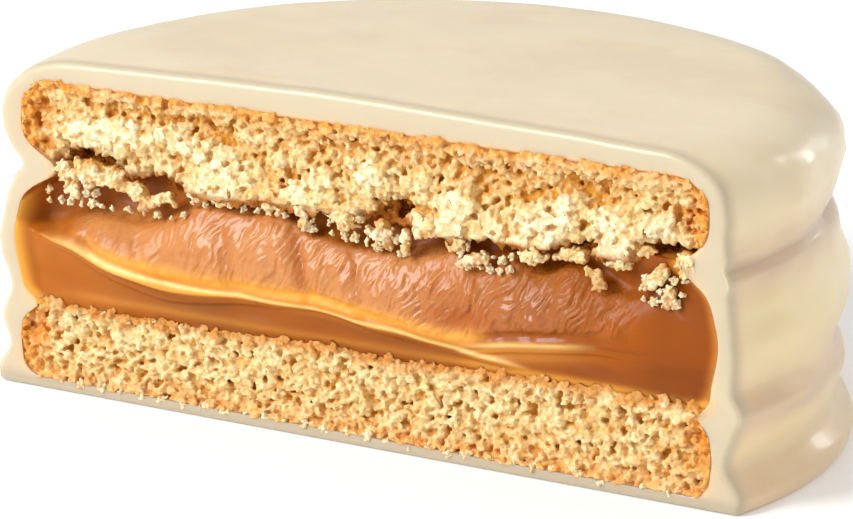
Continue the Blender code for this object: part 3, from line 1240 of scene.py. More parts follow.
def crumbled(
    obj: bpy.types.Object,
    tree: bpy.types.NodeTree,
    material: bpy.types.Material,
    crumb: Crumb,
    reach_back: float,
    triangles: int,
) -> bpy.types.Object:
    """Covers a core's front with lumps and grains, fuses them and roughens the skin.

    Args:
        obj: the core, in millimetres.
        tree: the crumb's Geometry Nodes tree.
        material: its finish.
        crumb: which crumb.
        reach_back: how far behind the knife's plane it grows.
        triangles: the most triangles to keep.

    Returns:
        The crumb, in millimetres.
    """
    recipe = crumb.value
    values = {
        "Lump Spacing": recipe.lump_spacing,
        "Lump Radius": recipe.lump_radius,
        "Grain Spacing": recipe.grain_spacing,
        "Grain Radius": recipe.grain_radius,
        "Front": reach_back - CUT_DISTANCE,
        "Material": material,
    }
    made = fuse(grow(obj, tree, values), recipe.voxel)
    points, normals = points_of(made), normals_of(made)
    front = points[:, 1] + CUT_DISTANCE < reach_back + 0.5
    shown, size = points[front], recipe.granule
    skin = 0.17 * size * (granules(shown, size, 5.0) - 0.6)
    skin += 0.12 * size * (granules(shown, 0.5 * size, 6.0) - 0.6)
    skin += 0.035 * rough(shown, (0.3, 0.3, 0.24), 2, 5.0)
    points[front] += normals[front] * skin[:, None]
    set_points(made, points)
    return thin_out(made, triangles)


def hollowness(points: Points, cell: float, blur: int) -> Points:
    """How far each point of a cut face lies behind the points round it.

    Args:
        points: rows in millimetres.
        cell: cell size of the grid that the face is read into.
        blur: how many cells the surroundings reach.

    Returns:
        The distance behind the local front, in millimetres.
    """
    spot = np.floor((points[:, [0, 2]] - points[:, [0, 2]].min(axis=0)) / cell).astype(int)
    front = np.full(spot.max(axis=0) + 1, np.nan)
    order = np.argsort(-points[:, 1])
    front[spot[order, 0], spot[order, 1]] = points[order, 1]
    known = ~np.isnan(front)
    total, weight = np.where(known, front, 0.0), known.astype(float)
    for _ in range(2):
        for axis in (0, 1):
            sums = [np.roll(total, k, axis) for k in range(-blur, blur + 1)]
            weights = [np.roll(weight, k, axis) for k in range(-blur, blur + 1)]
            total, weight = sum(sums), sum(weights)
    around = total / np.maximum(weight, 1e-6)
    return points[:, 1] - around[spot[:, 0], spot[:, 1]]


@dataclass(frozen=True)
class Swell:
    """A lump of the torn face that stands out, or a hollow where out is negative."""

    x: float
    z: float
    half_width: float
    half_height: float
    out: float

    def at(self, x: Points, z: Points) -> Points:
        """How far it moves the face forward at (x, z)."""
        far = ((x - self.x) / self.half_width) ** 2 + ((z - self.z) / self.half_height) ** 2
        return self.out * np.exp(-(far**1.5))


@dataclass
class Cookie:
    """One shortbread cookie: a round body whose cut face is real crumb."""

    disc: Disc
    name: str
    node: str
    radius: float
    low: float
    high: float
    crumb: Crumb
    seed: float
    recess: float
    swells: tuple[Swell, ...] = ()
    torn_edge: Callable[[Points], Points] | None = None
    torn_depth: float = 2.6
    pore_depth: float = 0.0
    crust_above: bool = False
    edge: float = 1.5
    edge_depth: float = 0.1
    unevenness: float = 0.4
    swell_gain: float = 1.6
    slice_depth: float = 5.0
    overlap: float = 0.6
    crumb_reach: float = 4.0
    triangles: int = 188_000

    def into_outline(self, x: Points) -> Points:
        """How far inside the cookie's round side a point of the cut lies."""
        return self.radius - np.hypot(x, CUT_DISTANCE)

    def past_edge(self, z: Points) -> Points:
        """How far a height reaches into the rounding of the upper or lower edge."""
        half = (self.high - self.low) / 2
        return np.maximum(np.abs(z - half - self.low) - (half - self.edge), 0.0)

    def rounded(self, z: Points) -> Points:
        """Radius of the cookie's rounded body at a height."""
        past = self.past_edge(z)
        return self.radius - self.edge + np.sqrt(np.maximum(self.edge**2 - past**2, 0.0))

    def relief(self, x: Points, z: Points) -> Points:
        """How far the core under the crumb stands behind the knife's plane."""
        places = np.column_stack((x, np.zeros_like(x), z))
        to_edge = np.minimum(self.into_outline(x), np.minimum(self.high - z, z - self.low))
        wavy = self.unevenness * rough(places, (2.3, 2.3, 1.4), 2, self.seed)
        depth = self.edge_depth + (self.recess - self.edge_depth + wavy) * rise(0.0, 1.6, to_edge)
        wander = 0.55 * rough(places, (1.5, 1.5, 1.1), 2, self.seed + 3)
        for swell in self.swells:
            depth = depth - self.swell_gain * swell.at(x + wander, z + 0.6 * wander)
        if self.pore_depth:
            pores = rough(places, (0.95, 0.95, 0.42), 2, self.seed + 4)
            depth = depth + self.pore_depth * rise(0.16, 0.5, pores)
        if self.torn_edge is not None:
            edge = self.torn_edge(x) + 0.25 * rough(places, (1.0, 1.0, 9.0), 2, self.seed + 6)
            depth = depth + self.torn_depth * (1.0 - rise(-0.45, 0.1, z - edge))
        return 0.16 + np.logaddexp(0.0, (depth - 0.2) * 4.0) / 4.0

    def rings(self, count: int) -> tuple[Points, Points]:
        """Heights and radii of the cookie's rounded body, from the bottom up."""
        turns = np.linspace(-math.pi / 2, math.pi / 2, count)
        levels = (self.low + self.high) / 2 + (self.high - self.low) / 2 * np.sin(turns)
        return levels, self.rounded(levels)

    def build(self, tree: bpy.types.NodeTree, material: bpy.types.Material) -> bpy.types.Object:
        """Grows crumb on a slice behind the cut and joins it to the plain rest of the cookie."""
        levels, radii = self.rings(34)
        points, faces = stacked(levels, radii, self.relief, 330, 40, self.slice_depth)
        core = make_mesh(self.name, points, faces, merge=0.001)
        made = crumbled(core, tree, material, self.crumb, self.crumb_reach, self.triangles)
        levels, radii = self.rings(13)
        radii = radii - 0.5
        back, faces = stacked(levels, radii, lambda x, z: x * 0 + self.slice_depth - self.overlap, 12, 60)
        rest = make_mesh(self.name + "_rest", back, faces, merge=0.001)
        both = bmesh.new()
        both.from_mesh(made.data)
        both.from_mesh(rest.data)
        both.to_mesh(made.data)
        both.free()
        bpy.data.objects.remove(rest)
        points = points_of(made)
        self.tint(made, points)
        set_points(made, self.disc.settle(self.tucked(points)))
        made.data.shade_smooth()
        return made

    def tucked(self, points: Points) -> Points:
        """Pushes crumb that reaches past the coating's inner edge back behind the coating's rim."""
        x, y, z = points.T
        outline = np.minimum(self.rounded(z), Coating(self.disc).inner_radius(z) + 0.05)
        wavy = rough(np.column_stack((x, x * 0, z * 0)), (1.6, 1.0, 1.0), 2, self.seed + 11)
        half = (self.high - self.low) / 2
        past = np.hypot(x, CUT_DISTANCE) - outline
        past = np.maximum(past, np.abs(z - half - self.low) - half - 0.3 * np.maximum(wavy, 0.0))
        room = 0.42 * rise(-0.15, 0.05, past) - 0.10
        moved = points.copy()
        moved[:, 1] = np.maximum(y, room - CUT_DISTANCE)
        return moved

    def tint(self, made: bpy.types.Object, points: Points) -> None:
        """Paints painted shade in hollows and deep voids, crust, a painted paler highlight on lumps that
        stand proud, and crumb where caramel soaks in.
        """
        x, y, z = points.T
        near, wide = hollowness(points, 0.18, 2), hollowness(points, 0.25, 6)
        depth = y + CUT_DISTANCE
        front = depth < self.slice_depth
        gaps = np.zeros(len(points))
        gaps[front] = 1.0 - granules(points[front], self.crumb.value.granule, 5.0)
        # Painted shade: the further a point lies behind its neighbours or the knife's plane, the more hollow
        # shade colour it takes; proud lumps take less.
        hollow = 0.4 * rise(0.02, 0.5, near) + 0.75 * rise(0.05, 0.9, wide) + 0.3 * rise(1.2, 3.0, depth)
        hollow += 0.15 * rise(0.45, 0.9, gaps)
        wander = np.zeros(len(points))
        wander[front] = rough(points[front], (1.7, 1.7, 1.1), 3, self.seed + 8)
        ends = 1.0 - rise(0.4, 3.4, self.into_outline(x) + wander * 1.6)
        outside = self.high - z if self.crust_above else z - self.low
        skin = 0.6 * (1.0 - rise(0.1, 1.3, outside + 0.7 * wander)) + 0.35 * (1.0 - rise(0.6, 3.0, outside))
        skin = skin * (1.0 if self.crust_above else 0.7)
        standing = sum((swell.at(x, z) for swell in self.swells), np.full(len(points), -0.35))
        paint(made, "hollow", np.clip(hollow - 0.22 * np.clip(standing, -1.0, 0.5), 0.0, 1.0))
        if self.torn_edge is None:
            skin = np.maximum(skin, 0.75 * (1.0 - rise(0.1, 0.9, self.high - z + 0.5 * wander)))
        paint(made, "crust", np.clip(np.maximum(ends, skin), 0.0, 1.0))
        # Painted highlight: lumps that stand proud are painted paler, with some random paleness.
        paint(made, "pale", 0.9 * rise(-0.1, 0.7, -wide + 0.5 * wander + 0.55 * standing))
        if self.torn_edge is None:
            soaked_and_shade = 0.35 * (1.0 - rise(0.0, 0.8, self.high - z + 0.4 * wander))
        else:
            soaked_and_shade = 1.0 - rise(-0.5, 0.35, z - self.torn_edge(x) + 0.3 * wander)
            # Painted shade: deep voids under the torn edge take the caramel-soak colour as well.
            soaked_and_shade = np.maximum(soaked_and_shade, rise(1.7, 2.7, depth) * (1.0 - rise(17.4, 18.4, z)))
        paint(made, "soaked_and_shade", np.clip(soaked_and_shade, 0.0, 1.0) * front)


def upper_cookie(disc: Disc) -> Cookie:
    """The upper cookie, torn along its lower edge where the caramel pulled crumb away."""
    swells = (
        Swell(-19.4, 19.2, 3.4, 1.4, 0.75),
        Swell(-22.0, 19.5, 1.1, 1.0, 0.45),
        Swell(-14.3, 19.6, 1.5, 0.8, 0.5),
        Swell(-12.3, 19.1, 1.1, 0.8, 0.55),
        Swell(-10.2, 17.7, 2.3, 1.2, 0.8),
        Swell(-8.0, 20.5, 1.4, 0.6, 0.3),
        Swell(-5.6, 18.9, 1.6, 0.8, 0.4),
        Swell(-2.6, 18.0, 1.4, 1.2, 0.75),
        Swell(-4.4, 16.7, 0.9, 0.7, 0.7),
        Swell(1.0, 18.9, 1.7, 1.1, 0.85),
        Swell(7.6, 17.9, 1.9, 1.1, 0.75),
        Swell(5.6, 16.4, 1.4, 0.7, 0.5),
        Swell(10.8, 16.9, 1.3, 0.9, 0.45),
        Swell(14.6, 17.7, 2.2, 1.1, 0.85),
        Swell(16.4, 19.0, 1.4, 0.9, 0.5),
        Swell(19.5, 17.7, 1.6, 1.4, 0.9),
        Swell(22.6, 18.5, 1.4, 1.0, 0.55),
        Swell(-21.2, 17.5, 1.8, 0.45, -1.7),
        Swell(-15.4, 16.3, 1.7, 0.6, -2.0),
        Swell(-17.4, 18.1, 1.1, 0.35, -0.9),
        Swell(2.8, 16.5, 1.2, 0.5, -1.8),
        Swell(5.9, 17.3, 0.8, 0.5, -1.6),
        Swell(3.4, 17.3, 2.0, 0.8, -0.8),
        Swell(17.4, 16.4, 1.1, 0.45, -2.0),
        Swell(23.0, 17.0, 1.7, 0.6, -2.2),
        Swell(12.6, 18.7, 1.2, 0.25, -0.6),
        Swell(18.3, 19.9, 0.9, 0.35, -0.6),
    )
    torn_edge = through(
        (
            (-26.5, 16.6), (-24.3, 16.8), (-22.7, 17.8), (-19.6, 17.2), (-17.0, 16.7), (-14.5, 16.9),
            (-12.8, 16.2), (-10.0, 15.9), (-7.0, 16.1), (-5.0, 16.0), (-3.0, 15.8), (-1.0, 15.9),
            (1.5, 16.5), (4.0, 16.5), (5.5, 16.0), (8.0, 15.9), (11.0, 16.1), (14.0, 16.2), (16.0, 16.7),
            (18.0, 16.3), (20.0, 16.3), (21.5, 16.9), (24.0, 17.2), (25.5, 16.6), (26.6, 16.6),
        )
    )
    return Cookie(
        disc,
        "top_cookie_crumb",
        "top_cookie",
        radius=27.75,
        low=15.9,
        high=22.25,
        crumb=Crumb.COARSE,
        seed=1.0,
        recess=1.25,
        swells=swells,
        torn_edge=torn_edge,
        edge=2.4,
        crust_above=True,
    )


def lower_cookie(disc: Disc) -> Cookie:
    """The lower cookie: finer and denser, with small flat pores."""
    return Cookie(
        disc,
        "bottom_cookie_crumb",
        "bottom_cookie",
        radius=28.05,
        low=0.75,
        high=6.9,
        crumb=Crumb.FINE,
        seed=9.0,
        recess=0.6,
        pore_depth=0.9,
    )


# ---------------------------------------------------------------------------------------------
# The caramel
# ---------------------------------------------------------------------------------------------


@dataclass(frozen=True)
class Lip:
    """A ridge that the knife dragged out of the caramel, described along the cut face."""

    crest: Callable[[Points], Points]
    thickness: Callable[[Points], Points]
    out: Callable[[Points], Points]
    groove: Callable[[Points], Points]

    def at(self, x: Points, z: Points) -> Points:
        """How far the ridge and the groove above it move the face back at (x, z)."""
        above = z - self.crest(x)
        thick = self.thickness(x)
        ridge = np.where(above > 0.0, bump(above, 0.0, 0.30), 1.0)
        ridge = np.where(above < -thick, bump(above, -thick, 0.13), ridge)
        return self.groove(x) * bump(above, 0.85, 0.38) - self.out(x) * ridge


@dataclass
class Filling:
    """Caramel squeezed between the cookies; the knife dragged two lips out of its face."""

    disc: Disc
    low: float = 6.3
    high: float = 16.4
    band_depth: float = 0.5
    shelf_depth: float = 1.25
    chord: int = 560
    rows: int = 118
    sheet_folds: Swells = ((-3.9, 0.42, 0.55), (0.4, 0.16, 0.5), (-9.6, 0.18, 0.6))
    fold_shade_lines: Swells = ((-3.9, 0.6, 0.5), (-9.6, 0.3, 0.5), (0.4, 0.3, 0.5))

    left_lip = Lip(
        crest=through(
            (
                (-27.5, 11.9), (-24.4, 11.0), (-22.6, 10.7), (-20.4, 9.95), (-17.6, 9.45), (-14.8, 9.15),
                (-12.6, 9.1), (-9.0, 9.25), (-6.0, 9.15), (-3.0, 9.15), (1.0, 8.75), (4.0, 8.6),
                (6.0, 8.3), (8.0, 8.05), (11.0, 7.75), (14.0, 7.4),
            )
        ),
        thickness=through(
            (
                (-25.0, 0.15), (-21.0, 0.25), (-18.0, 0.4), (-15.0, 0.5), (-12.5, 0.35), (-10.0, 0.2),
                (14.0, 0.15),
            )
        ),
        out=through(
            (
                (-25.5, 0.0), (-22.5, 0.18), (-18.0, 0.32), (-13.0, 0.34), (-8.0, 0.26), (2.0, 0.24),
                (7.0, 0.2), (10.0, 0.2), (13.5, 0.0),
            )
        ),
        groove=through(
            ((-24.0, 0.0), (-20.5, 0.4), (-14.0, 0.4), (-6.0, 0.35), (4.0, 0.3), (7.0, 0.1), (9.0, 0.0))
        ),
    )
    right_lip = Lip(
        crest=through(
            (
                (6.0, 8.1), (9.4, 8.5), (11.8, 8.95), (14.0, 9.25), (16.0, 9.5), (18.0, 9.75), (21.0, 9.8),
                (27.5, 10.2),
            )
        ),
        thickness=through(((8.0, 0.25), (14.0, 0.35), (22.0, 0.5))),
        out=through(((7.5, 0.0), (10.0, 0.25), (15.0, 0.38), (18.0, 0.28), (21.0, 0.12), (27.0, 0.0))),
        groove=through(((8.0, 0.0), (11.0, 0.3), (15.0, 0.35), (18.5, 0.15), (21.0, 0.0))),
    )
    shelf_edge = staticmethod(
        through(
            (
                (-27.5, 11.6), (-24.4, 11.6), (-22.4, 12.5), (-21.0, 13.0), (-17.2, 13.1), (-14.9, 13.9),
                (-13.0, 14.7), (-9.0, 14.6), (-6.0, 14.8), (-4.4, 13.9), (-2.4, 13.5), (0.0, 13.3),
                (2.0, 13.6), (5.0, 14.0), (8.0, 14.5), (9.6, 13.9), (11.8, 14.7), (13.2, 13.9),
                (16.4, 14.6), (18.5, 13.8), (20.4, 13.2), (22.6, 13.5), (24.2, 12.6), (27.5, 12.4),
            )
        )
    )

    def radius(self, z: Points) -> Points:
        """Radius of the round side, just into the coating's inner wall."""
        return Coating(self.disc).inner_radius(z) + 0.12

    def into_side(self, x: Points, z: Points) -> Points:
        """How far inside its round side a point of the cut lies."""
        return self.radius(z) - np.hypot(x, CUT_DISTANCE)

    @staticmethod
    def leaning(x: Points, z: Points) -> Points:
        """The place along the cut for marks that lean to the left as they rise."""
        return x + 0.35 * (z - 11.0)

    def lip_height(self, x: Points) -> Points:
        """Height of the lip that bounds the wrinkled sheet from below."""
        share = rise(6.5, 10.0, x)
        return (1.0 - share) * self.left_lip.crest(x) + share * self.right_lip.crest(x)

    def relief(self, x: Points, z: Points) -> Points:
        """How far the cut face stands behind the knife's plane, lips, band and all."""
        lip, edge = self.lip_height(x), self.shelf_edge(x)
        places = np.column_stack((x + 0.45 * (z - 11.0), np.zeros_like(x), z))
        share = np.clip((z - lip) / np.maximum(edge - lip, 0.6), 0.0, 1.0)
        arch = np.sin(math.pi * share**0.75) ** 0.7
        ends = 1.0 - np.maximum(rise(19.5, 26.0, x), rise(-20.5, -25.5, x))
        folds = swelling(self.leaning(x, z), self.sheet_folds)
        folds += 0.26 * rough(places, (3.4, 3.4, 9.0), 2, 21.0)
        folds += 0.13 * rough(places, (1.5, 1.5, 4.0), 2, 22.0)
        dip = 0.4 * bump(x, 8.0, 2.4) * (1.0 - rise(10.6, 12.4, z))
        bulge = 0.30 - 0.72 * arch * (0.35 + 0.65 * ends) + folds * arch * ends + dip
        shelf = self.shelf_depth * (1.0 - np.exp(-np.maximum(z - edge, 0.0) / 0.5))
        sheet = bulge + 0.85 * share**2.4 + shelf
        band = self.band_depth + 0.14 * rough(places, (6.0, 6.0, 2.6), 2, 25.0) - 0.16 * bump(z, 7.6, 0.7)
        depth = band + (sheet - band) * rise(-0.5, 0.5, z - lip)
        depth += self.left_lip.at(x, z) + self.right_lip.at(x, z)
        to_wall = self.into_side(x, z)
        at_left = (1.0 - rise(0.0, 1.5, to_wall)) * (x < 0.0)
        curl = 0.16 * (1.0 - np.sqrt(1.0 - (1.0 - np.clip(to_wall / 0.25, 0.0, 1.0)) ** 2))
        depth += (curl - 0.05 - depth) * at_left * (1.0 - rise(13.6, 15.0, z))
        at_right = (1.0 - rise(0.0, 9.0, to_wall)) * (x > 0.0)
        away = 0.08 + 0.25 * (1.0 - rise(0.0, 7.0, to_wall)) + 0.2 * rise(12.0, 15.0, z)
        return depth + (away - depth) * at_right**0.7 * rise(8.0, 9.0, z)

    def wrinkles(self, x: Points, z: Points) -> Points:
        """Where the surface is wrinkled like pulled toffee, from 0 to 1."""
        above = rise(0.55, 1.3, z - self.lip_height(x)) * (1.0 - rise(0.1, 0.7, z - self.shelf_edge(x)))
        across = rise(-25.0, -22.5, x) * (1.0 - rise(19.5, 22.5, x))
        smooth_patch = 0.65 * bump(x, -18.0, 3.6)
        return above * across * (1.0 - smooth_patch)

    def build(self) -> bpy.types.Object:
        """Builds the layer with its lips, folds and wrinkles."""
        levels = np.linspace(self.low, self.high, self.rows)
        points, faces = stacked(levels, self.radius(levels), self.relief, self.chord, 80)
        x, y, z = points.T
        strength = self.wrinkles(x, z) * (y + CUT_DISTANCE < 3.2)
        warp = 0.75 * rough(points, (2.4, 2.4, 2.4), 2, 31.0)
        curl = 0.35 + 0.012 * (x + 4.0)
        across = x * 0.88 - z * (0.30 + curl * 0.5) + warp
        along = x * 0.45 + z * 0.88 + 0.6 * warp
        pulled = np.column_stack((across, along, z * 0))
        fine = 1.0 - 2.2 * np.abs(rough(pulled, (0.52, 2.6, 1.0), 2, 33.0))
        broad = rough(pulled, (0.9, 3.2, 1.0), 3, 34.0)
        flakes = rough(pulled, (0.26, 1.0, 1.0), 2, 35.0)
        flakes *= 0.05 + 0.035 * rise(0.0, 6.0, x)
        points[:, 1] -= (0.08 * fine + 0.09 * broad + flakes) * strength
        made = make_mesh("filling_caramel", self.disc.settle(points), faces, crisp=60.0)
        self.tint(made)
        return made

    def tint(self, made: bpy.types.Object) -> None:
        """Paints the caramel's wrinkles and gloss, its own orange-brown, and painted light and shade: glow
        and highlights where it is thinly spread, a sheen on its lit bulge, and shade in its band, dip,
        folds, creases and right end.
        """
        points = points_of(made) / MM
        x, z = points[:, 0], points[:, 2]
        near = 1.0 - rise(3.4, 4.0, points[:, 1] - self.disc.axis_y + CUT_DISTANCE)
        left, right = z - self.left_lip.crest(x), z - self.right_lip.crest(x)
        above, over_shelf = z - self.lip_height(x), z - self.shelf_edge(x)
        left_on = np.clip(self.left_lip.out(x) / 0.25, 0.0, 1.0)
        right_on = np.clip(self.right_lip.out(x) / 0.3, 0.0, 1.0)
        thick = self.left_lip.thickness(x)
        wrinkled = self.wrinkles(x, z)
        rim = 1.0 - rise(0.05, 0.95, self.into_side(x, z))
        band = 1.0 - rise(-0.9, -0.3, above)

        # Painted highlight and glow along the crests of the lips.
        on_left = bump(left, -0.05, 0.13 + 0.22 * (1.0 - rise(-20.0, -15.0, x))) * left_on
        on_right = bump(right, -0.05, 0.2) * right_on * (1.0 - rise(15.5, 19.5, x))
        lip_highlight = 0.85 * on_left + 0.7 * on_right

        glossy = wrinkled * (0.9 - 0.6 * rise(0.0, 12.0, x)) + 0.3 * bump(right, 0.35, 0.25) * right_on
        glossy += 0.7 * bump(above, 2.0, 1.5) * rise(0.0, 4.0, x) * (1.0 - rise(14.0, 18.0, x))
        glossy = np.clip(glossy + 0.35 * on_left, 0.0, 1.0)

        # Painted sheen on the lit bulge above the lip.
        lit_sheen = rise(0.4, 1.2, above) * (1.0 - rise(-0.2, 0.6, over_shelf)) * rise(-25.5, -22.0, x)
        lit_sheen *= (1.0 - 0.85 * rise(3.0, 16.0, x)) * (1.0 - rise(18.0, 22.0, x))

        # Painted shade in the dip, along the folds and at the right end, partly the caramel's own
        # orange-brown.
        wedge = bump(right, -0.75, 0.55) * rise(7.5, 10.5, x) * (1.0 - rise(20.0, 24.0, x))
        dip = bump(x, 8.4, 2.8) * bump(z, 10.2, 1.3) + 0.8 * bump(x, 22.5, 3.4) * bump(z, 11.2, 1.7)
        low_right = rise(14.0, 18.0, x) * (1.0 - rise(0.3, 1.0, z - 6.6))
        fold_shade = swelling(self.leaning(x, z), self.fold_shade_lines)
        fold_shade *= rise(0.8, 1.6, above) * (1.0 - rise(-0.6, 0.3, over_shelf))
        amber_and_shade = dip + 0.5 * low_right + 0.5 * wedge + fold_shade + 0.5 * rise(20.0, 24.0, x)

        # Painted glow: the foot of the band, the groove above the lip, the wedge, the lip's face and the
        # ends by the coating.
        foot = bump(z, 7.1, 0.28) * rise(-26.0, -20.0, x) * (0.2 + 0.5 * rise(4.0, 14.0, x))
        valley = bump(above, 0.7, 0.55) * rise(-22.5, -19.0, x) * (1.0 - rise(8.5, 11.0, x))
        face = rise(-0.12, 0.05, left + thick) * (1.0 - rise(-0.1, 0.1, left)) * left_on
        glow = foot + 0.9 * valley + 0.45 * wedge * (1.0 - rise(13.0, 20.0, x)) + 0.7 * face
        glow += rim * (0.75 - 0.35 * rise(0.0, 1.0, x))

        # Painted shade, stronger towards the right.
        dim = (0.15 + 0.85 * rise(-8.0, 17.0, x)) * (1.0 - 0.75 * np.clip(lit_sheen, 0.0, 1.0))
        shade = np.maximum(band * rise(-27.0, -10.0, x), 0.5 * rise(-0.2, 0.5, over_shelf))

        # Painted shade under the left lip and at the right end.
        under = bump(left, -thick - 0.22, 0.14) * left_on
        far = 0.5 * rise(19.5, 23.5, x) * (1.0 - rim) + 0.15 * rise(2.0, 12.0, x) * band

        paint(made, "dim", dim * (1.0 - 0.35 * wrinkled))
        shares = {
            "wrinkled": wrinkled,
            "glossy": glossy,
            "lit_sheen": lit_sheen,
            "lip_highlight": lip_highlight,
            "amber_and_shade": amber_and_shade,
            "glow": glow,
            "shade": shade,
            "crease_shade": 0.25 * under + far,
        }
        for name, share in shares.items():
            paint(made, name, np.clip(share, 0.0, 1.0) * near)


# ---------------------------------------------------------------------------------------------
# Crumbs that fell out of the cut
# ---------------------------------------------------------------------------------------------


@dataclass(frozen=True)
class Clump:
    """A clump of crumb hanging in the cut: its middle, its half sizes and its tilt."""

    x: float
    z: float
    depth: float
    half: tuple[float, float, float]
    tilt: float = 0.0


@dataclass
class HangingCrumb:
    """Clumps torn from the upper cookie that rest on the caramel's shelf."""

    disc: Disc
    clumps: tuple[Clump, ...] = (
        Clump(-23.4, 16.0, 0.55, (0.9, 0.7, 0.9), 0.4),
        Clump(-22.6, 15.0, 0.5, (0.5, 0.5, 0.9)),
        Clump(-21.2, 16.3, 0.55, (1.9, 0.9, 0.95), -0.1),
        Clump(-19.2, 16.1, 0.7, (1.4, 0.9, 0.85), -0.3),
        Clump(-17.4, 15.4, 0.7, (1.1, 0.7, 0.7), -0.3),
        Clump(-15.3, 15.2, 0.6, (1.2, 0.7, 0.45), 0.3),
        Clump(-16.4, 14.7, 0.6, (0.7, 0.6, 0.45)),
        Clump(-12.6, 15.8, 1.1, (0.9, 0.8, 0.7)),
        Clump(-10.8, 15.5, 1.1, (1.0, 0.6, 0.5)),
        Clump(-6.9, 15.5, 1.0, (1.0, 0.6, 0.4)),
        Clump(-4.1, 15.2, 0.6, (0.35, 0.45, 0.8)),
        Clump(-0.9, 15.5, 0.7, (1.0, 0.7, 0.9), -0.3),
        Clump(1.2, 14.9, 0.6, (0.45, 0.45, 0.4)),
        Clump(2.2, 15.3, 0.5, (0.7, 0.6, 1.0), 0.4),
        Clump(3.9, 15.1, 0.6, (0.4, 0.45, 0.9)),
        Clump(5.7, 16.2, 0.6, (1.6, 0.9, 0.75), 0.25),
        Clump(7.6, 15.3, 0.9, (0.9, 0.6, 0.6)),
        Clump(9.4, 14.6, 0.5, (1.2, 0.55, 0.45), 0.15),
        Clump(13.7, 15.3, 0.7, (1.1, 0.7, 0.6)),
        Clump(16.4, 15.7, 1.0, (1.4, 0.8, 0.5), 0.1),
        Clump(18.3, 14.4, 0.5, (0.5, 0.5, 0.8)),
        Clump(19.8, 15.6, 1.0, (1.0, 0.8, 0.6)),
        Clump(22.6, 15.2, 0.5, (0.7, 0.6, 0.9), -0.4),
        Clump(23.6, 14.0, 0.5, (0.55, 0.5, 0.75), -0.3),
        Clump(21.9, 14.6, 0.6, (0.45, 0.45, 0.4)),
        Clump(24.3, 16.3, 0.7, (0.8, 0.7, 0.9), -0.3),
        Clump(21.2, 16.6, 1.1, (1.0, 0.6, 0.5)),
    )
    core_share: float = 0.84
    crumb_reach: float = 4.0
    triangles: int = 150_000

    def core(self) -> bpy.types.Object:
        """A ball for each clump, in millimetres."""
        form = bmesh.new()
        for clump in self.clumps:
            ball = bmesh.ops.create_icosphere(form, subdivisions=3, radius=1.0)["verts"]
            for vertex in ball:
                x, y, z = (value * size * self.core_share for value, size in zip(vertex.co, clump.half))
                turned_x = x * math.cos(clump.tilt) - z * math.sin(clump.tilt)
                turned_z = x * math.sin(clump.tilt) + z * math.cos(clump.tilt)
                vertex.co = (clump.x + turned_x, clump.depth - CUT_DISTANCE + y, clump.z + turned_z)
        mesh = bpy.data.meshes.new("hanging_crumb")
        form.to_mesh(mesh)
        form.free()
        return linked("hanging_crumb", mesh)

    def build(self, tree: bpy.types.NodeTree, material: bpy.types.Material) -> bpy.types.Object:
        """Grows grains on the clumps and fuses each clump."""
        made = crumbled(self.core(), tree, material, Crumb.FALLEN, self.crumb_reach, self.triangles)
        points = points_of(made)
        behind = hollowness(points, 0.18, 2)
        wander = rough(points, (1.1, 1.1, 1.1), 2, 44.0)
        low = 1.0 - rise(14.2, 15.2, points[:, 2] + 0.6 * wander)
        # Painted shade on the parts that lie behind their neighbours.
        paint(made, "hollow", 0.9 * rise(-0.05, 0.5, behind))
        paint(made, "crust", 0.3 * rise(-0.1, 0.4, rough(points, (1.5, 1.5, 1.5), 2, 43.0)))
        paint(made, "pale", rise(-0.2, 0.4, wander))
        # Caramel soak low on the clumps, and painted shade on their deeper parts.
        paint(made, "soaked_and_shade", 0.35 * low + 0.5 * rise(1.1, 1.9, points[:, 1] + CUT_DISTANCE))
        set_points(made, self.disc.settle(points))
        made.data.shade_smooth()
        return made


@dataclass(frozen=True)
class Sprinkle:
    """A stretch of the cut face where loose grains lie, with their spacing and size."""

    name: str
    left: float
    right: float
    low: float
    high: float
    spacing: float
    radius: float


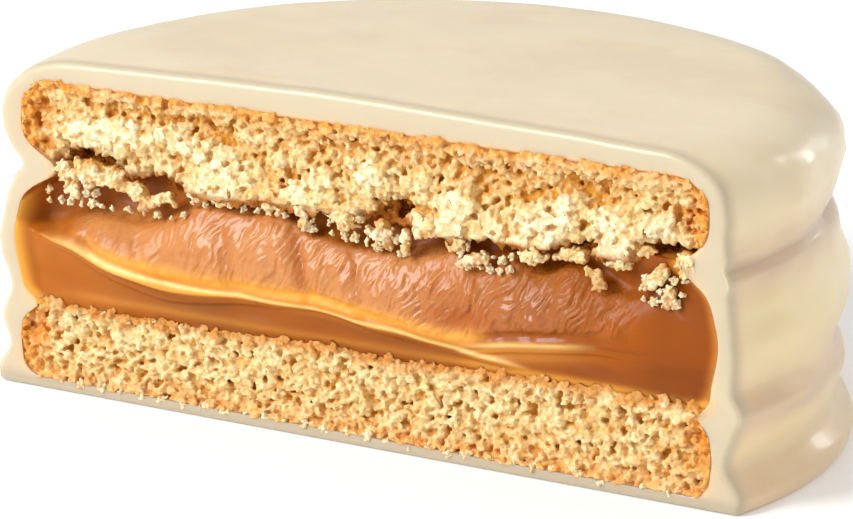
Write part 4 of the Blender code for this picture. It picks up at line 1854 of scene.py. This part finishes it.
@dataclass
class LooseGrains:
    """Single grains that stick to the caramel, its borders and the coating's lower edge."""

    disc: Disc
    filling: Filling
    sprinkles: tuple[Sprinkle, ...] = (
        Sprinkle("left", -25.2, -20.5, 13.8, 14.7, 0.75, 0.25),
        Sprinkle("dip", -20.0, -13.6, 13.9, 14.9, 1.1, 0.24),
        Sprinkle("middle", -13.4, -5.0, 15.2, 15.9, 0.9, 0.23),
        Sprinkle("drop", -4.4, -3.6, 14.2, 15.8, 0.5, 0.26),
        Sprinkle("fall", -2.4, 3.8, 14.0, 15.6, 0.75, 0.26),
        Sprinkle("right", 7.6, 12.0, 14.1, 15.3, 0.7, 0.24),
        Sprinkle("corner", 21.4, 24.6, 13.4, 15.6, 0.7, 0.24),
        Sprinkle("border", -24.5, -12.0, 6.7, 7.2, 1.9, 0.2),
        Sprinkle("foot", -24.0, 25.0, 0.8, 1.2, 1.5, 0.27),
    )

    def depth(self, x: Points, z: Points) -> Points:
        """Depth of the surface that the grains lie on."""
        return np.where(z < 3.0, 0.15, 0.45 * np.minimum(self.filling.relief(x, z), 1.6))

    def ground(self, sprinkle: Sprinkle) -> bpy.types.Object:
        """A patch to strew one stretch's grains on, in millimetres."""
        rows, columns = 6, max(int((sprinkle.right - sprinkle.left) * 3), 4)
        across = np.linspace(sprinkle.left, sprinkle.right, columns)
        x, z = np.meshgrid(across, np.linspace(sprinkle.low, sprinkle.high, rows))
        x, z = x.ravel(), z.ravel()
        patchy = 0.25 * rough(np.column_stack((x, x * 0, z)), (2.0, 1.0, 2.0), 1, 50.0)
        points = np.column_stack((x, self.depth(x, z) - CUT_DISTANCE, z + patchy))
        mesh = bpy.data.meshes.new("grains_" + sprinkle.name)
        mesh.from_pydata(points.tolist(), [], grid_faces(rows, columns))
        return linked(mesh.name, mesh)

    def build(self, tree: bpy.types.NodeTree, material: bpy.types.Material) -> list[bpy.types.Object]:
        """Strews every stretch and settles it."""
        pieces = []
        for sprinkle in self.sprinkles:
            values = {"Spacing": sprinkle.spacing, "Radius": sprinkle.radius, "Material": material}
            made = grow(self.ground(sprinkle), tree, values)
            points, normals = points_of(made), normals_of(made)
            points += normals * (0.045 * rough(points, (0.25, 0.25, 0.25), 2, 47.0))[:, None]
            # A faint painted shade all over.
            paint(made, "hollow", np.full(len(points), 0.05))
            paint(made, "crust", 0.35 * rise(0.0, 0.5, rough(points, (1.3, 1.3, 1.3), 1, 48.0)))
            paint(made, "pale", 0.6 + 0.4 * rise(-0.3, 0.3, rough(points, (0.9, 0.9, 0.9), 1, 49.0)))
            paint(made, "soaked_and_shade", 0.3 * rise(0.2, 0.5, rough(points, (1.1, 1.1, 1.1), 1, 51.0)))
            set_points(made, self.disc.settle(points))
            made.data.shade_smooth()
            pieces.append(made)
        return pieces


# ---------------------------------------------------------------------------------------------
# Studio
# ---------------------------------------------------------------------------------------------


@dataclass
class Studio:
    """A pale floor, soft lights round the piece, and the camera."""

    azimuth: float = 30.97
    elevation: float = 15.89
    distance: float = 341.5
    aim: tuple[float, float, float] = (5.73, -18.21, 13.87)
    lens: float = 219.2
    lit: tuple[float, float, float] = (0.0, 0.0, 12.0)
    surroundings: float = 0.55
    floor_shade: float = 0.96
    floor_glow: float = 0.12

    def floor(self) -> None:
        """A plain pale floor."""
        form = bmesh.new()
        bmesh.ops.create_grid(form, x_segments=1, y_segments=1, size=3.0)
        mesh = bpy.data.meshes.new("floor")
        form.to_mesh(mesh)
        form.free()
        made = linked("floor", mesh)
        material = bpy.data.materials.new("floor_paper")
        material.use_nodes = True
        shader = material.node_tree.nodes["Principled BSDF"]
        shader.inputs["Base Color"].default_value = (*(self.floor_shade,) * 3, 1.0)
        shader.inputs["Emission Color"].default_value = (1.0, 1.0, 1.0, 1.0)
        shader.inputs["Emission Strength"].default_value = self.floor_glow
        shader.inputs["Roughness"].default_value = 0.9
        mesh.materials.append(material)

    def softbox(
        self, name: str, place: tuple[float, float, float], size: tuple[float, float], power: float
    ) -> None:
        """A rectangular light that faces the piece.

        Args:
            name: the light's name.
            place: where it stands, in metres.
            size: its width and height, in metres.
            power: in watts.
        """
        lamp = bpy.data.lights.new(name, "AREA")
        lamp.shape = "RECTANGLE"
        lamp.size, lamp.size_y = size
        lamp.energy = power
        made = linked(name, lamp)
        made.location = place
        towards = Vector(self.lit) * MM - Vector(place)
        made.rotation_euler = towards.to_track_quat("-Z", "Y").to_euler()

    def lights(self) -> None:
        """White surroundings, a key from the left front, a narrow light behind, a weak fill at the right."""
        world = bpy.data.worlds.new("surroundings")
        world.use_nodes = True
        background = world.node_tree.nodes["Background"]
        background.inputs["Color"].default_value = (1.0, 1.0, 1.0, 1.0)
        background.inputs["Strength"].default_value = self.surroundings
        bpy.context.scene.world = world
        self.softbox("key", (-0.29, -0.45, 0.33), (0.24, 0.36), 3.55)
        self.softbox("strip", (0.15, 0.44, 0.14), (0.04, 0.16), 0.3)
        self.softbox("fill", (0.52, -0.12, 0.24), (0.30, 0.30), 0.22)

    def camera(self) -> None:
        """The camera in front and a little above, to the right of the cut face."""
        azimuth, elevation = math.radians(self.azimuth), math.radians(self.elevation)
        level = math.cos(elevation)
        back = Vector((math.sin(azimuth) * level, -math.cos(azimuth) * level, math.sin(elevation)))
        camera = bpy.data.cameras.new("camera")
        camera.lens = self.lens
        camera.sensor_width = 36.0
        camera.clip_start = 0.01
        made = linked("camera", camera)
        made.location = (Vector(self.aim) + back * self.distance) * MM
        made.rotation_euler = back.to_track_quat("Z", "Y").to_euler()
        bpy.context.scene.camera = made

    def build(self) -> None:
        """Sets the camera, the lights and the floor."""
        bpy.context.scene.view_settings.view_transform = "Standard"
        self.camera()
        self.lights()
        self.floor()


def main() -> None:
    """Builds the studio and every layer in order."""
    logging.basicConfig(level=logging.INFO, format="%(name)s: %(message)s")
    Studio().build()
    disc = Disc.from_frame()
    larder = Larder.stocked()
    tree = crumb_tree()
    filling = Filling(disc)
    serve(Coating(disc).build(), larder.coating, "white_coating", "coating")
    serve(filling.build(), larder.caramel, "caramel", "filling")
    for cookie in (upper_cookie(disc), lower_cookie(disc)):
        serve(cookie.build(tree, larder.crumb), larder.crumb, "cookie_crumb", cookie.node)
    serve(HangingCrumb(disc).build(tree, larder.crumb), larder.crumb, "cookie_crumb")
    for grains in LooseGrains(disc, filling).build(strewing_tree(), larder.crumb):
        serve(grains, larder.crumb, "cookie_crumb")


if __name__ == "__main__":
    main()
